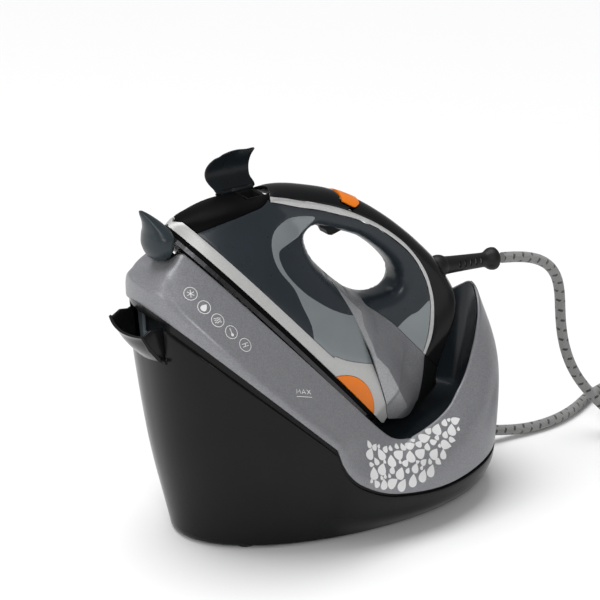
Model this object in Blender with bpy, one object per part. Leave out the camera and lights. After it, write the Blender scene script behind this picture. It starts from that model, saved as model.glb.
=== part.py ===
"""Steam generator iron: a base with tank, pump and boiler, and an iron resting in its cradle.

Frame: +X towards the heel of the iron, -X towards its toe, +Z up, symmetric about y = 0.
Lengths below are millimetres and become metres when a mesh is made.
The iron is modelled in its own axes (s along the sole from the toe, y across, w off the sole).
"""

import math

import bpy
import bmesh
import numpy as np
from mathutils import Matrix, Vector

MM = 0.001
GAP = 0.35

# ---- driving dimensions of the base -------------------------------------------------------
RING_POINTS = 40
OUTLINE_STEPS = 1
SPLIT_LEVEL_GAP = 0.006
SHELL_WALL = 2.4
COVER_WALL = 2.4
LINER_WALL = 2.2
FOOT_HEIGHT = 3.0
SPLIT_SLOPE = -0.953
SPLIT_TOE_Z = 204.0
SPLIT_TOE_X = -160.0
NOSE_TOP_X = -43.0
CREST_Z = 168.0
CUP_RIM_Z = 77.5
NOTCH_HALF = 19.0
NOTCH_DEPTH = 17.0
BOTTOM = dict(toe=-136.0, heel=158.0, centre=14.0, half=80.0, p_toe=2.05, p_heel=2.1)
BELLY = dict(toe=-152.0, heel=160.0, centre=12.0, half=97.0, p_toe=2.2, p_heel=2.15)
SPLIT = dict(toe=-164.0, heel=162.0, centre=10.0, half=105.0, p_toe=2.3, p_heel=2.15)
SHOULDER = dict(toe=-160.0, heel=168.0, centre=18.0, half=98.0, p_toe=2.1, p_heel=2.0)
HEEL_CLIMB = [(0.0, CREST_Z), (0.1, 166.6), (0.19, 163.0), (0.28, 158.5), (0.37, 153.5), (0.5, 146.0),
              (0.6, 139.5), (0.67, 133.0), (0.75, 125.5), (0.85, 114.5), (0.95, 105.5), (1.02, 100.5),
              (1.12, 92.0), (1.24, 86.5), (1.42, 81.0), (1.57, CUP_RIM_Z)]
RIM = dict(toe=-140.0, heel=154.0, centre=40.0, half=79.0, p_toe=1.75, p_heel=1.75)

# ---- driving dimensions of the iron -------------------------------------------------------
TILT = math.radians(48.0)
TOE = (-134.0, 0.0, 271.0)
SOLE_BOTTOM_W = -12.0
SOLE_TOP_W = -8.3
SHIELD_TOP_W = -5.3
SHROUD_BOTTOM_W = -5.0
SOLE_LENGTH = 246.0
SOLE_HALF = 58.0
SOLE_WIDEST = 185.0
IRON_WALL = 2.4
RIM_W = -13.4
DECK_W = -16.5

# ---- base filler door and lock lever ------------------------------------------------------
DOOR_HALF = 28.0
DOOR_HINGE = (-158.5, 169.0)
DOOR_TILT = math.radians(35.0)
DOOR_LENGTH = 29.0
DOOR_BULGE = 5.2

# ---- steam cord ---------------------------------------------------------------------------
CORD_RADIUS = 4.7
COIL_CENTRE = (374.0, -14.0)
COIL_MID_RADIUS = 52.0
COIL_TURNS_WIDE = 2
COIL_TURNS_HIGH = 2


# ---- small tools --------------------------------------------------------------------------
def clear_scene():
    for old in list(bpy.data.objects):
        bpy.data.objects.remove(old, do_unlink=True)


def material(name, colour, roughness, metallic=0.0):
    found = bpy.data.materials.get(name)
    if found:
        return found
    made = bpy.data.materials.new(name)
    made.use_nodes = True
    shader = made.node_tree.nodes["Principled BSDF"]
    shader.inputs["Base Color"].default_value = (*colour, 1.0)
    shader.inputs["Roughness"].default_value = roughness
    shader.inputs["Metallic"].default_value = metallic
    made.diffuse_color = (*colour, 1.0)
    return made


def gloss_black():
    return material("gloss_black", (0.02, 0.02, 0.021), 0.22)


def satin_silver():
    return material("satin_silver", (0.42, 0.43, 0.44), 0.38, 0.6)


def slate():
    return material("slate", (0.035, 0.05, 0.06), 0.4)


def light_grey():
    return material("light_grey", (0.6, 0.6, 0.58), 0.4)


def orange():
    return material("orange", (0.85, 0.16, 0.01), 0.35)


def rubber():
    return material("rubber", (0.02, 0.02, 0.02), 0.8)


def steel():
    return material("steel", (0.55, 0.56, 0.58), 0.3, 1.0)


def aluminium():
    return material("aluminium", (0.6, 0.6, 0.62), 0.45, 1.0)


def clear_plastic():
    return material("tank_plastic", (0.55, 0.62, 0.66), 0.25)


def white_plastic():
    return material("white_plastic", (0.75, 0.75, 0.73), 0.45)


def green_board():
    return material("board_green", (0.02, 0.16, 0.06), 0.5)


def brass():
    return material("brass", (0.65, 0.45, 0.16), 0.35, 1.0)


def silicone():
    return material("silicone", (0.25, 0.26, 0.27), 0.7)


def braid():
    return material("cord_braid", (0.55, 0.55, 0.54), 0.85)


def curve_through(knots, value):
    """Smooth monotone curve through a few (x, y) knots, flat beyond its ends."""
    xs = np.array([k[0] for k in knots], float)
    ys = np.array([k[1] for k in knots], float)
    value = np.clip(value, xs[0], xs[-1])
    step = np.diff(xs)
    slope = np.diff(ys) / step
    tangent = np.zeros(len(xs))
    tangent[0], tangent[-1] = slope[0], slope[-1]
    for i in range(1, len(xs) - 1):
        if slope[i - 1] * slope[i] > 0:
            w1 = 2 * step[i] + step[i - 1]
            w2 = step[i] + 2 * step[i - 1]
            tangent[i] = (w1 + w2) / (w1 / slope[i - 1] + w2 / slope[i])
    i = np.clip(np.searchsorted(xs, value, side="right") - 1, 0, len(xs) - 2)
    h = step[i]
    f = (value - xs[i]) / h
    a = (1 + 2 * f) * (1 - f) ** 2 * ys[i] + f * (1 - f) ** 2 * h * tangent[i]
    b = f * f * (3 - 2 * f) * ys[i + 1] + f * f * (f - 1) * h * tangent[i + 1]
    return a + b


def smooth_max(a, b, soft):
    return 0.5 * (a + b + np.sqrt((a - b) ** 2 + soft * soft))


def finish_mesh(name, mesh_bm, finish, parent=None, smooth_angle=40.0):
    """Writes a bmesh in millimetres as a named object in metres."""
    bmesh.ops.triangulate(mesh_bm, faces=[f for f in mesh_bm.faces if len(f.verts) == 4])
    bmesh.ops.recalc_face_normals(mesh_bm, faces=mesh_bm.faces)
    bmesh.ops.scale(mesh_bm, vec=(MM, MM, MM), verts=mesh_bm.verts)
    mesh = bpy.data.meshes.new(name)
    mesh_bm.to_mesh(mesh)
    mesh_bm.free()
    mesh.shade_smooth()
    mesh.set_sharp_from_angle(angle=math.radians(smooth_angle))
    made = bpy.data.objects.new(name, mesh)
    bpy.context.collection.objects.link(made)
    if finish is not None:
        made.data.materials.append(finish)
    if parent is not None:
        made.parent = parent
    return made


def ring_bmesh(rings, closed=False, mirrored=False):
    """Joins rings of points in order; the ends are capped unless the last ring joins the first.
    Mirrored caps run straight across, from each point to its mirror image on the ring."""
    made = bmesh.new()
    rows = [[made.verts.new(Vector(point)) for point in ring] for ring in rings]
    count = len(rows[0])
    pairs = list(zip(rows[:-1], rows[1:]))
    if closed:
        pairs.append((rows[-1], rows[0]))
    for lower, upper in pairs:
        for i in range(count):
            j = (i + 1) % count
            made.faces.new((lower[i], lower[j], upper[j], upper[i]))
    if not closed:
        for row, flip in ((rows[0], -1), (rows[-1], 1)):
            if not mirrored:
                made.faces.new(row[::flip])
                continue
            for i in range(count // 2):
                strip = [row[i], row[i + 1], row[-i - 1], row[-i]]
                strip = [vert for k, vert in enumerate(strip) if vert not in strip[:k]]
                made.faces.new(strip[::flip])
    return made


def ring_solid(name, rings, finish, closed=False, mirrored=False, parent=None, smooth_angle=40.0):
    return finish_mesh(name, ring_bmesh(rings, closed, mirrored), finish, parent, smooth_angle)


def prism(name, outline, low, high, finish=None, parent=None, axis="y", smooth_angle=30.0):
    """An outline in two axes, extruded along the third from low to high."""
    def place(a, b, depth):
        return {"y": (a, depth, b), "z": (a, b, depth), "x": (depth, a, b)}[axis]
    rings = [[place(a, b, depth) for a, b in outline] for depth in (low, high)]
    return ring_solid(name, rings, finish, parent=parent, smooth_angle=smooth_angle)


def box(name, low, high, finish=None, parent=None):
    outline = [(low[0], low[1]), (high[0], low[1]), (high[0], high[1]), (low[0], high[1])]
    return prism(name, outline, low[2], high[2], finish, parent, axis="z")


def rod(name, start, end, radius, finish=None, parent=None, sides=20, end_radius=None):
    """A round bar between two points, tapered when end_radius is given."""
    start, end = Vector(start), Vector(end)
    along = (end - start).normalized()
    side = along.orthogonal().normalized()
    other = along.cross(side)
    radii = (radius, radius if end_radius is None else end_radius)
    rings = []
    for centre, r in zip((start, end), radii):
        rings.append([centre + r * (math.cos(a) * side + math.sin(a) * other)
                      for a in np.linspace(0, 2 * math.pi, sides, endpoint=False)])
    return ring_solid(name, rings, finish, parent=parent)


def turned(name, start, direction, profile, finish, parent=None, sides=24):
    """A turned piece: profile holds (distance along, radius) from one end to the other."""
    start, along = Vector(start), Vector(direction).normalized()
    side = along.orthogonal().normalized()
    other = along.cross(side)
    rings = []
    for distance, r in profile:
        rings.append([start + along * distance + r * (math.cos(a) * side + math.sin(a) * other)
                      for a in np.linspace(0, 2 * math.pi, sides, endpoint=False)])
    return ring_solid(name, rings, finish, parent=parent)


def cutter(obj):
    obj.hide_render = True
    obj.display_type = "WIRE"
    return obj


def boolean(target, tool, operation="DIFFERENCE"):
    cutter(tool)
    step = target.modifiers.new(operation.lower(), "BOOLEAN")
    step.operation = operation
    step.solver = "EXACT"
    step.object = tool
    return target


# ---- outer surface of the base ------------------------------------------------------------
def split_z(x):
    """Height of the joint between the black shell and the silver cover."""
    line = SPLIT_TOE_Z + SPLIT_SLOPE * (x - SPLIT_TOE_X)
    nose = [(NOSE_TOP_X, 93.0), (-38.0, 77.0), (-20.0, 57.0), (13.0, 43.0),
            (68.0, 37.0), (111.0, 39.0), (170.0, 43.0)]
    return np.where(x < NOSE_TOP_X, line, curve_through(nose, x))


def sole_line_z(x, w):
    """Height at x of the plane that lies w off the iron's own base plane."""
    return TOE[2] + (w - (x - TOE[0]) * math.sin(TILT)) / math.cos(TILT)


def rim_z(x, y, angle):
    """Height of the cover's rim: along the sole, down to the cup, up to the crest."""
    along_sole = sole_line_z(x, RIM_W)
    side = smooth_max(along_sole, CUP_RIM_Z - 1.5, 9.0)
    fold = np.abs((angle + math.pi) % (2 * math.pi) - math.pi)
    heel = curve_through(HEEL_CLIMB, fold)
    near_lever = (x < 0) & (np.abs(y) < NOTCH_HALF)
    notch = np.where(near_lever, NOTCH_DEPTH * (1 - (y / NOTCH_HALF) ** 2) ** 2, 0)
    return np.where(x > RIM["centre"], heel, side) - notch


def plan(angle, toe, heel, centre, half, p_toe, p_heel):
    """Egg-shaped plan outline: two half super-ellipses that share their widest line."""
    c, s = np.cos(angle), np.sin(angle)
    reach = np.where(c > 0, heel - centre, centre - toe)
    power = np.where(c > 0, p_heel, p_toe)
    x = centre + reach * np.sign(c) * np.abs(c) ** (2 / power)
    y = half * np.sign(s) * np.abs(s) ** (2 / power)
    return x, y


def base_point(angle, level):
    """Point of the outer surface: level 0 at the bottom edge, 1 at the split, 2 at the rim."""
    x0, y0 = plan(angle, **BOTTOM)
    x1, y1 = plan(angle, **BELLY)
    x2, y2 = plan(angle, **SPLIT)
    x3, y3 = plan(angle, **SHOULDER)
    x4, y4 = plan(angle, **RIM)
    z0 = np.full_like(x0, FOOT_HEIGHT)
    z2 = split_z(x2)
    z1 = z0 + 0.45 * (split_z(x1) - z0)
    z4 = rim_z(x4, y4, angle)
    z3 = z2 + 0.58 * (z4 - z2)
    knots = [np.stack(k, -1) for k in ((x0, y0, z0), (x1, y1, z1), (x2, y2, z2),
                                       (x3, y3, z3), (x4, y4, z4))]
    places = [0.0, 0.5, 1.0, 1.5, 2.0]
    return spline_at(knots, places, level)


def spline_at(knots, places, level):
    """Catmull-Rom curve through the knots, each an array of points, read at one level."""
    i = min(max(int(np.searchsorted(places, level, side="right")) - 1, 0), len(places) - 2)
    before = knots[i - 1] if i > 0 else 2 * knots[i] - knots[i + 1]
    after = knots[i + 2] if i + 2 < len(knots) else 2 * knots[i + 1] - knots[i]
    f = (level - places[i]) / (places[i + 1] - places[i])
    a, b = knots[i], knots[i + 1]
    return 0.5 * (2 * a + (b - before) * f + (2 * before - 5 * a + 4 * b - after) * f ** 2
                  + (3 * a - before - 3 * b + after) * f ** 3)


def base_normal(angle, level):
    """Outward normal of the outer surface."""
    small = 0.01
    low, high = max(level - small, 0.0), min(level + small, 2.0)
    across = base_point(angle + small, level) - base_point(angle - small, level)
    up = base_point(angle, high) - base_point(angle, low)
    normal = np.cross(across, up)
    return normal / np.linalg.norm(normal, axis=-1, keepdims=True)


def base_ring(level, inset, count=RING_POINTS):
    """One closed ring of the base surface, moved inwards by inset."""
    angle = np.linspace(0, 2 * math.pi, count, endpoint=False)
    return base_point(angle, level) - inset * base_normal(angle, level)


def make_base_shell():
    outer = [base_ring(level, 0.0) for level in (0.0, 0.12, 0.3, 0.5, 0.7, 0.88)]
    top = 1.0 - SPLIT_LEVEL_GAP
    band = [base_ring(0.9, 2.2), base_ring(top, 2.2)]
    inner = [base_ring(level, 2.2 + SHELL_WALL) for level in (top, 0.9)]
    inner += [base_ring(level, SHELL_WALL) for level in (0.84, 0.7, 0.5, 0.3, 0.12, 0.0)]
    shell = ring_solid("base_shell", outer + band + inner, gloss_black(), closed=True)
    x, z = DOOR_HINGE
    boolean(shell, box("filler_cut", (-185, -31, z - 3.4), (-140, 31, z + 31)))
    return shell


def make_upper_cover():
    low = 1.0 + SPLIT_LEVEL_GAP
    outer = [base_ring(level, 0.0) for level in (low, 1.2, 1.4, 1.6, 1.8, 1.94)]
    lip = [base_ring(2.0, 1.0), base_ring(2.0, COVER_WALL)]
    inner = [base_ring(level, COVER_WALL + 0.3) for level in (1.9, 1.8, 1.6, 1.4, 1.2, low)]
    return ring_solid("upper_cover", outer + lip + inner, satin_silver(), closed=True)


# ---- cradle -------------------------------------------------------------------------------
def deck_z(x):
    """Side profile of the cradle: parallel to the sole, then a bowl, then the rear wall."""
    slope = sole_line_z(x, DECK_W)
    return smooth_max(slope, 66.0, 6.0)


def cradle_ring(share, drop):
    """A ring of the cradle between its middle line (share 0) and the rim (share 1)."""
    angle = np.linspace(0, 2 * math.pi, RING_POINTS, endpoint=False)
    rim = base_point(angle, 2.0) - (COVER_WALL + GAP + 0.4) * base_normal(angle, 2.0)
    spine_x = np.clip(rim[:, 0], -118, 96)
    spine = np.stack([spine_x, 0 * spine_x, deck_z(spine_x)], -1)
    flat = spine + share * (rim - spine)
    floor = deck_z(flat[:, 0])
    wall = np.clip((share - 0.72) / 0.28, 0, 1) ** 1.6
    z = floor + (rim[:, 2] - deck_z(rim[:, 0])) * wall
    heel = np.clip((flat[:, 0] - 70) / 60, 0, 1)
    z = z + heel * 10 * (1 - wall)
    flat[:, 2] = z - drop
    return flat


def make_cradle_liner():
    top = [cradle_ring(share, 0.6) for share in (0.06, 0.4, 0.7, 0.8, 0.88, 0.95, 1.0)]
    under = [cradle_ring(share, LINER_WALL + 0.6) for share in (0.985, 0.94, 0.86, 0.78, 0.68, 0.4, 0.06)]
    return ring_solid("cradle_liner", top + under, slate(), mirrored=True)


# ---- iron: its own frame ------------------------------------------------------------------
def iron_frame():
    frame = bpy.data.objects.new("iron_frame", None)
    bpy.context.collection.objects.link(frame)
    frame.matrix_world = (Matrix.Translation(Vector(TOE) * MM)
                          @ Matrix.Rotation(TILT, 4, "Y"))
    return frame


def sole_half(s):
    """Half-width of the sole at s: pointed toe, widest at SOLE_WIDEST, slight taper behind."""
    toe = SOLE_HALF * np.clip(1 - (1 - np.clip(s, 0, SOLE_WIDEST) / SOLE_WIDEST) ** 2, 0, 1) ** 0.62
    tail = 3.5 * np.clip((s - SOLE_WIDEST) / (SOLE_LENGTH - SOLE_WIDEST), 0, 1) ** 2
    return toe - tail


def sole_outline(inset, length=SOLE_LENGTH, points=17):
    """Closed outline of the sole in (s, y), moved inwards by inset, with round heel corners."""
    toe_s = 1.4 * inset + 0.6
    heel_s = length - inset
    corner = 16.0
    share = np.linspace(0, 1, points) ** 1.7
    s = toe_s + (heel_s - corner - toe_s) * share
    half = np.maximum(sole_half(s + 0.2) - inset, 0.8)
    half[0] = 0.8
    side = list(zip(s, half))
    last = side[-1][1]
    for turn in np.linspace(0, math.pi / 2, 5)[1:]:
        side.append((heel_s - corner + corner * math.sin(turn), last - corner * (1 - math.cos(turn))))
    return side + [(a, -b) for a, b in reversed(side)]


TOP_LINE = [(0, -4.4), (4, 7), (21, 38.6), (38.5, 60), (43.5, 68), (50, 77), (59.5, 86), (75, 97),
            (94, 108.5), (115, 117.5), (140, 124.5), (164, 129), (191, 132), (214, 133), (232, 131),
            (250, 127), (260, 119), (267, 106), (276, 86), (290, 60)]
HEEL_LINE = [(0, -5), (249, -5), (256, 3), (271, 13), (283, 30), (290, 50)]
BAR_HALF = [(0, 3), (20, 12), (40, 16), (60, 17), (120, 16.5), (200, 17), (240, 19), (265, 24), (290, 25)]
HEEL_HALF = [(240, 55), (256, 50), (271, 44), (283, 38), (290, 32)]
STATIONS = (0.5, 7, 16, 28, 42, 60, 85, 115, 145, 175, 202, 224, 242, 257, 270, 281, 290)
WAIST_HEIGHT = 70.0
BAR_ROUND = 15.0


def iron_section(s, inset, drop, half_points):
    """Cross-section of the iron's outer form at s: points (s, y, w) up one side, down the other."""
    top = float(curve_through(TOP_LINE, s)) - inset
    low = float(curve_through(HEEL_LINE, s)) - drop
    bar = max(float(curve_through(BAR_HALF, s)) - inset, 0.5)
    foot = float(sole_half(s)) + 1.0 if s < 240 else float(curve_through(HEEL_HALF, s))
    foot = max(foot - inset, bar * 0.9, 0.6)
    if top < low + 0.6:
        top = low + 0.6
    crown = min(BAR_ROUND, 0.55 * (top - low))
    share = 0.5 - 0.5 * np.cos(np.linspace(0, math.pi, half_points))
    w = low + (top - low) * share ** 0.9
    waist = np.clip((w + 5) / WAIST_HEIGHT, 0, 1)
    half = bar + (foot - bar) * (1 - waist ** 2) ** 1.15
    over = np.clip((w - (top - crown)) / crown, 0, 1)
    half = half * np.sqrt(np.clip(1 - over ** 2.3, 0, 1))
    right = [(s, -h, z) for h, z in zip(half[:-1], w[:-1])]
    left = [(s, h, z) for h, z in reversed(list(zip(half[:-1], w[:-1])))]
    return right + [(s, 0.0, w[-1])] + left


def iron_form(name, inset=0.0, drop=0.0, half_points=9, parent=None, finish=None):
    """The whole outer form of the iron above the sole, or the same form inset for its hollow."""
    first, last = 3.2 * inset, 290 - 0.6 * inset
    stations = [s for s in STATIONS if first <= s <= last]
    rings = [iron_section(s, inset, drop, half_points) for s in stations]
    return ring_solid(name, rings, finish, parent=parent, smooth_angle=50.0)


SHROUD_TOP = [(15, 4.5), (150, 4.5), (165, 7), (180, 12.5), (204.5, 25)]
NOSE_LINE = [(14.5, 5.2), (24.6, 25), (36, 44), (43, 54.5), (46.5, 64)]
COVER_LINE = [(46.5, 66.5), (57, 74), (68, 80.5), (82.5, 89.5), (100, 99), (119, 107), (142.5, 114.5),
              (166, 119), (185, 120), (206, 117.5), (221, 112.5), (236, 104), (248.5, 92), (257, 79),
              (262, 66)]
PANEL_TOP = [(262, 66), (240, 66.5), (217, 66), (197, 63), (181, 60.5), (176, 68)]
PANEL_FRONT = [(128, 62), (133, 56.5), (152, 49.3), (170, 43.3), (187, 34.4), (204.5, 25)]
HOLE_LINE = [(97, 68), (99.5, 76.5), (112, 84), (137.5, 96.5), (155, 101), (172, 103), (188, 102),
             (198, 97), (201.5, 89), (198, 80), (189, 70.5), (176, 63.5), (158, 59), (136, 56.5),
             (115, 56.5), (101.5, 61)]
TRIM_LINE = [(48.5, 63), (57, 68.2), (72.4, 76.8), (88.3, 86.7), (106.3, 96), (121.6, 103.6),
             (145, 111.8), (169.7, 116.2), (190.8, 117), (212.6, 112.6), (226, 106.6), (237.5, 98.5),
             (247, 88), (254, 77), (259, 66)]


def rounded(points, closed=True, steps=OUTLINE_STEPS):
    """Smooths a coarse outline with a Catmull-Rom curve."""
    made = []
    count = len(points)
    for i in range(count if closed else count - 1):
        p = [np.array(points[(i + k) % count] if closed else points[min(max(i + k, 0), count - 1)], float)
             for k in (-1, 0, 1, 2)]
        for f in np.arange(steps) / steps:
            made.append(tuple(0.5 * (2 * p[1] + (p[2] - p[0]) * f
                                     + (2 * p[0] - 5 * p[1] + 4 * p[2] - p[3]) * f ** 2
                                     + (3 * p[1] - p[0] - 3 * p[2] + p[3]) * f ** 3)))
    if not closed:
        made.append(tuple(map(float, points[-1])))
    return made


def offset_outline(points, distance, closed=True):
    """Moves an outline sideways: to the left of its direction for a positive distance."""
    p = np.array(points, float)
    if closed:
        ahead, behind = np.roll(p, -1, 0), np.roll(p, 1, 0)
    else:
        ahead = np.vstack([p[1:], p[-1:]])
        behind = np.vstack([p[:1], p[:-1]])
    run = ahead - behind
    run /= np.linalg.norm(run, axis=1, keepdims=True)
    normal = np.stack([-run[:, 1], run[:, 0]], 1)
    return [tuple(q) for q in p + distance * normal]


REACH = 75.0


class IronShell:
    """Cutters shared by the iron's casing pieces."""

    def __init__(self, frame):
        self.frame = frame
        self.hollow = cutter(iron_form("iron_hollow", inset=IRON_WALL, drop=4.0, parent=frame))
        grip = rounded(HOLE_LINE)
        self.grip = cutter(prism("grip_cut", grip, -REACH, REACH, parent=frame))
        around = offset_outline(grip, IRON_WALL)
        boolean(self.hollow, prism("grip_wall_cut", around, -REACH, REACH, parent=frame))

    def piece(self, name, region, finish, grip=True):
        made = iron_form(name, parent=self.frame, finish=finish)
        boolean(made, self.hollow)
        if grip:
            boolean(made, self.grip)
        boolean(made, prism(name + "_region", region, -REACH, REACH, parent=self.frame), "INTERSECT")
        return made


def make_iron_casings(frame):
    shell = IronShell(frame)
    half_gap = GAP / 2
    shroud_top = rounded(SHROUD_TOP, closed=False)
    cover = rounded(COVER_LINE, closed=False)
    trim_low = rounded(TRIM_LINE, closed=False)
    panel_top = rounded(PANEL_TOP, closed=False)
    panel_front = rounded(PANEL_FRONT, closed=False)
    nose = rounded(NOSE_LINE, closed=False)

    low = offset_outline(shroud_top, -half_gap, closed=False)
    shroud = shell.piece("lower_shroud", [(-20, -30), (-20, 4.3)] + low
                         + [(251 - GAP, 2 - half_gap), (253, -30)], light_grey(), grip=False)
    lens_centre = (205.0, -28.6)
    lens_radius = 36.6
    lens = [(lens_centre[0] + lens_radius * math.cos(a), lens_centre[1] + lens_radius * math.sin(a))
            for a in np.linspace(0, 2 * math.pi, 32, endpoint=False)]
    lens_cut = offset_outline(lens, -GAP)
    for side, name in ((-1, "pilot_lens_right"), (1, "pilot_lens_left")):
        span = sorted((side * 38, side * REACH))
        boolean(shroud, prism(name + "_cut", lens_cut, *span, parent=frame))
        made = iron_form(name, inset=-0.25, parent=frame, finish=orange())
        boolean(made, shell.hollow)
        boolean(made, prism(name + "_region", lens, *span, parent=frame), "INTERSECT")

    nose_region = ([(-20, 4.8)] + offset_outline(nose, half_gap, closed=False)
                   + [(46.5 - half_gap, 120), (-20, 120)])
    nose_piece = shell.piece("nose_cover", nose_region, gloss_black(), grip=False)

    body_region = (offset_outline(shroud_top, half_gap, closed=False)
                   + [(262, 40), (262.0, 63.0)]
                   + offset_outline(trim_low, -half_gap, closed=False)[::-1]
                   + offset_outline(nose, -half_gap, closed=False)[::-1])
    body = shell.piece("body_shell", body_region, slate())
    panel_low = [(251, 2), (256, 1), (277, 1), (277, 33), (269, 51), (262, 66)]
    panel = panel_front + [(251, 2)] + panel_low[1:] + panel_top[1:]
    boolean(body, prism("panel_room", offset_outline(panel, -half_gap), -REACH, REACH, parent=frame))
    fairing = offset_outline(panel, half_gap)
    shell.piece("rear_fairing", fairing, satin_silver())

    cover_region = (offset_outline(cover, half_gap, closed=False)
                    + [(266, 66.2), (320, 66.2), (320, 160), (46.5 + half_gap, 160)])
    cover_piece = shell.piece("handle_cover", cover_region, gloss_black())
    heel_region = [(263, 65.8), (269.4, 51), (277.4, 33.2), (277.4, 1), (320, 1), (320, 65.8)]
    shell.piece("heel_cover", heel_region, gloss_black())

    trim = (offset_outline(cover, -half_gap, closed=False)
            + offset_outline(trim_low, half_gap, closed=False)[::-1])
    for side, name in ((-1, "handle_trim_right"), (1, "handle_trim_left")):
        made = iron_form(name, inset=-0.3, parent=frame, finish=satin_silver())
        boolean(made, shell.hollow)
        span = sorted((side * 1.0, side * REACH))
        boolean(made, prism(name + "_region", trim, *span, parent=frame), "INTERSECT")
    return body, cover_piece, nose_piece


def make_top_button(frame, cover):
    """Thumb button that saddles the handle, and its room in the cover."""
    outline = [(97, 128), (97.5, 112.5), (101.5, 106.5), (114.5, 110.8), (118.5, 115.5), (119, 128)]
    made = iron_form("steam_button", inset=-0.7, parent=frame, finish=orange())
    boolean(made, prism("button_region", outline, -REACH, REACH, parent=frame), "INTERSECT")
    room = [(96.5, 130), (97.0, 111.5), (101.5, 104.3), (115.5, 108.8), (119.0, 114.8), (119.5, 130)]
    boolean(cover, prism("button_room", room, -REACH, REACH, parent=frame))


TRIGGER_PIVOT = (103.5, 86.0)
TRIGGER_HALF = 6.5


def make_steam_trigger(frame, body):
    """Trigger under the handle, hinged at its front end."""
    outline = [(102, 80.5), (107, 80), (113, 81.8), (118, 80.5), (121, 82.5), (125, 91), (125, 96),
               (117, 95), (108, 90), (102, 88)]
    made = prism("steam_trigger", outline, -TRIGGER_HALF, TRIGGER_HALF, slate(), frame)
    room = [(100.8, 74), (127, 84), (127, 99.5), (116, 98), (107, 93), (100.8, 90.5)]
    boolean(body, prism("trigger_room", room, -TRIGGER_HALF - 0.5, TRIGGER_HALF + 0.5, parent=frame))
    pin = rod("trigger_pin_cut", (TRIGGER_PIVOT[0], -20, TRIGGER_PIVOT[1]),
              (TRIGGER_PIVOT[0], 20, TRIGGER_PIVOT[1]), 1.35, parent=frame, sides=12)
    boolean(made, pin)
    rod("trigger_pin", (TRIGGER_PIVOT[0], -TRIGGER_HALF - 3, TRIGGER_PIVOT[1]),
        (TRIGGER_PIVOT[0], TRIGGER_HALF + 3, TRIGGER_PIVOT[1]), 1.1, steel(), frame, sides=12)


# The nose's upper face has its own axes: u along it from its lower end, y across, n off it.
FACE_START = (21.0, 38.6)
FACE_ANGLE = math.atan2(60 - 38.6, 38.5 - 21.0)
FLAP_AXIS_Y = 16.5
FLAP_AXIS_N = -3.0
FLAP_OPEN = math.radians(88.0)
WELL = dict(u0=19.5, u1=36.0, half=10.5)


def face_frame(frame):
    """Empty whose x runs along the nose's upper face and whose z stands off it."""
    face = bpy.data.objects.new("nose_face_frame", None)
    bpy.context.collection.objects.link(face)
    face.parent = frame
    face.location = Vector((FACE_START[0], 0, FACE_START[1])) * MM
    face.rotation_euler = (0, -FACE_ANGLE, 0)
    return face


def make_filler_flap(face):
    """Arched flap of the iron's filler, hinged along its left side and standing open."""
    outline = [(10, 0), (4, 5), (0.5, 12), (1, 20), (6, 27), (15, 30.5), (26, 31), (34, 32.5),
               (40.5, 34.5), (38, 27), (36, 18), (35, 8), (33, 0)]
    leaf = bmesh.new()
    rows = [[leaf.verts.new((u, q, n)) for u, q in rounded(outline, steps=2)] for n in (0, 2.0)]
    count = len(rows[0])
    for k in range(count):
        leaf.faces.new((rows[0][k], rows[0][(k + 1) % count], rows[1][(k + 1) % count], rows[1][k]))
    leaf.faces.new(rows[0][::-1])
    leaf.faces.new(rows[1])
    for q in np.linspace(4, 31, 8):
        everything = leaf.verts[:] + leaf.edges[:] + leaf.faces[:]
        bmesh.ops.bisect_plane(leaf, geom=everything, plane_co=(0, q, 0), plane_no=(0, 1, 0))
    for vert in leaf.verts:
        arch = 1 - ((vert.co.y - FLAP_AXIS_Y) / 16.0) ** 2
        vert.co.z += FLAP_AXIS_N + 6.5 * max(arch, -0.6)
        vert.co.y = FLAP_AXIS_Y - vert.co.y
    bmesh.ops.triangulate(leaf, faces=[f for f in leaf.faces if len(f.verts) > 4])
    hinge = Vector((0, FLAP_AXIS_Y, FLAP_AXIS_N + 1.0))
    bmesh.ops.translate(leaf, vec=-hinge, verts=leaf.verts)
    bmesh.ops.rotate(leaf, cent=(0, 0, 0), matrix=Matrix.Rotation(-FLAP_OPEN, 3, "X"), verts=leaf.verts)
    made = finish_mesh("filler_flap", leaf, slate(), face)
    made.location = hinge * MM
    knuckle = rod("flap_knuckle", (10.5, 0, 0), (32.5, 0, 0), 2.6, parent=face, sides=14)
    knuckle.location = hinge * MM
    boolean(made, knuckle, "UNION")
    bore = rod("flap_bore", (-20, 0, 0), (60, 0, 0), 1.3, parent=face, sides=14)
    bore.location = hinge * MM
    boolean(made, bore)
    pin = rod("flap_pin", (6.0, 0, 0), (35.0, 0, 0), 1.05, steel(), face, sides=12)
    pin.location = hinge * MM


def make_filler_well(face, nose):
    """Opening in the nose, hinge room, and the funnel that leads down into the iron's tank."""
    u0, u1, half = WELL["u0"], WELL["u1"], WELL["half"]
    boolean(nose, box("well_cut", (u0, -half, -9), (u1, half, 30), parent=face))
    axis_n = FLAP_AXIS_N + 1.0
    start, end = (9.0, FLAP_AXIS_Y, axis_n), (60.0, FLAP_AXIS_Y, axis_n)
    room = rod("hinge_room", start, end, 3.1, parent=face, sides=14)
    boolean(nose, room)
    gap = 0.4
    funnel = box("filler_funnel", (u0 + gap, -half + gap, -19), (u1 - gap, half - gap, -1.5), rubber(), face)
    bore = box("funnel_bore", (u0 + 2, -half + 2, -30), (u1 - 2, half - 2, 10), parent=face)
    boolean(funnel, bore)


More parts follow.
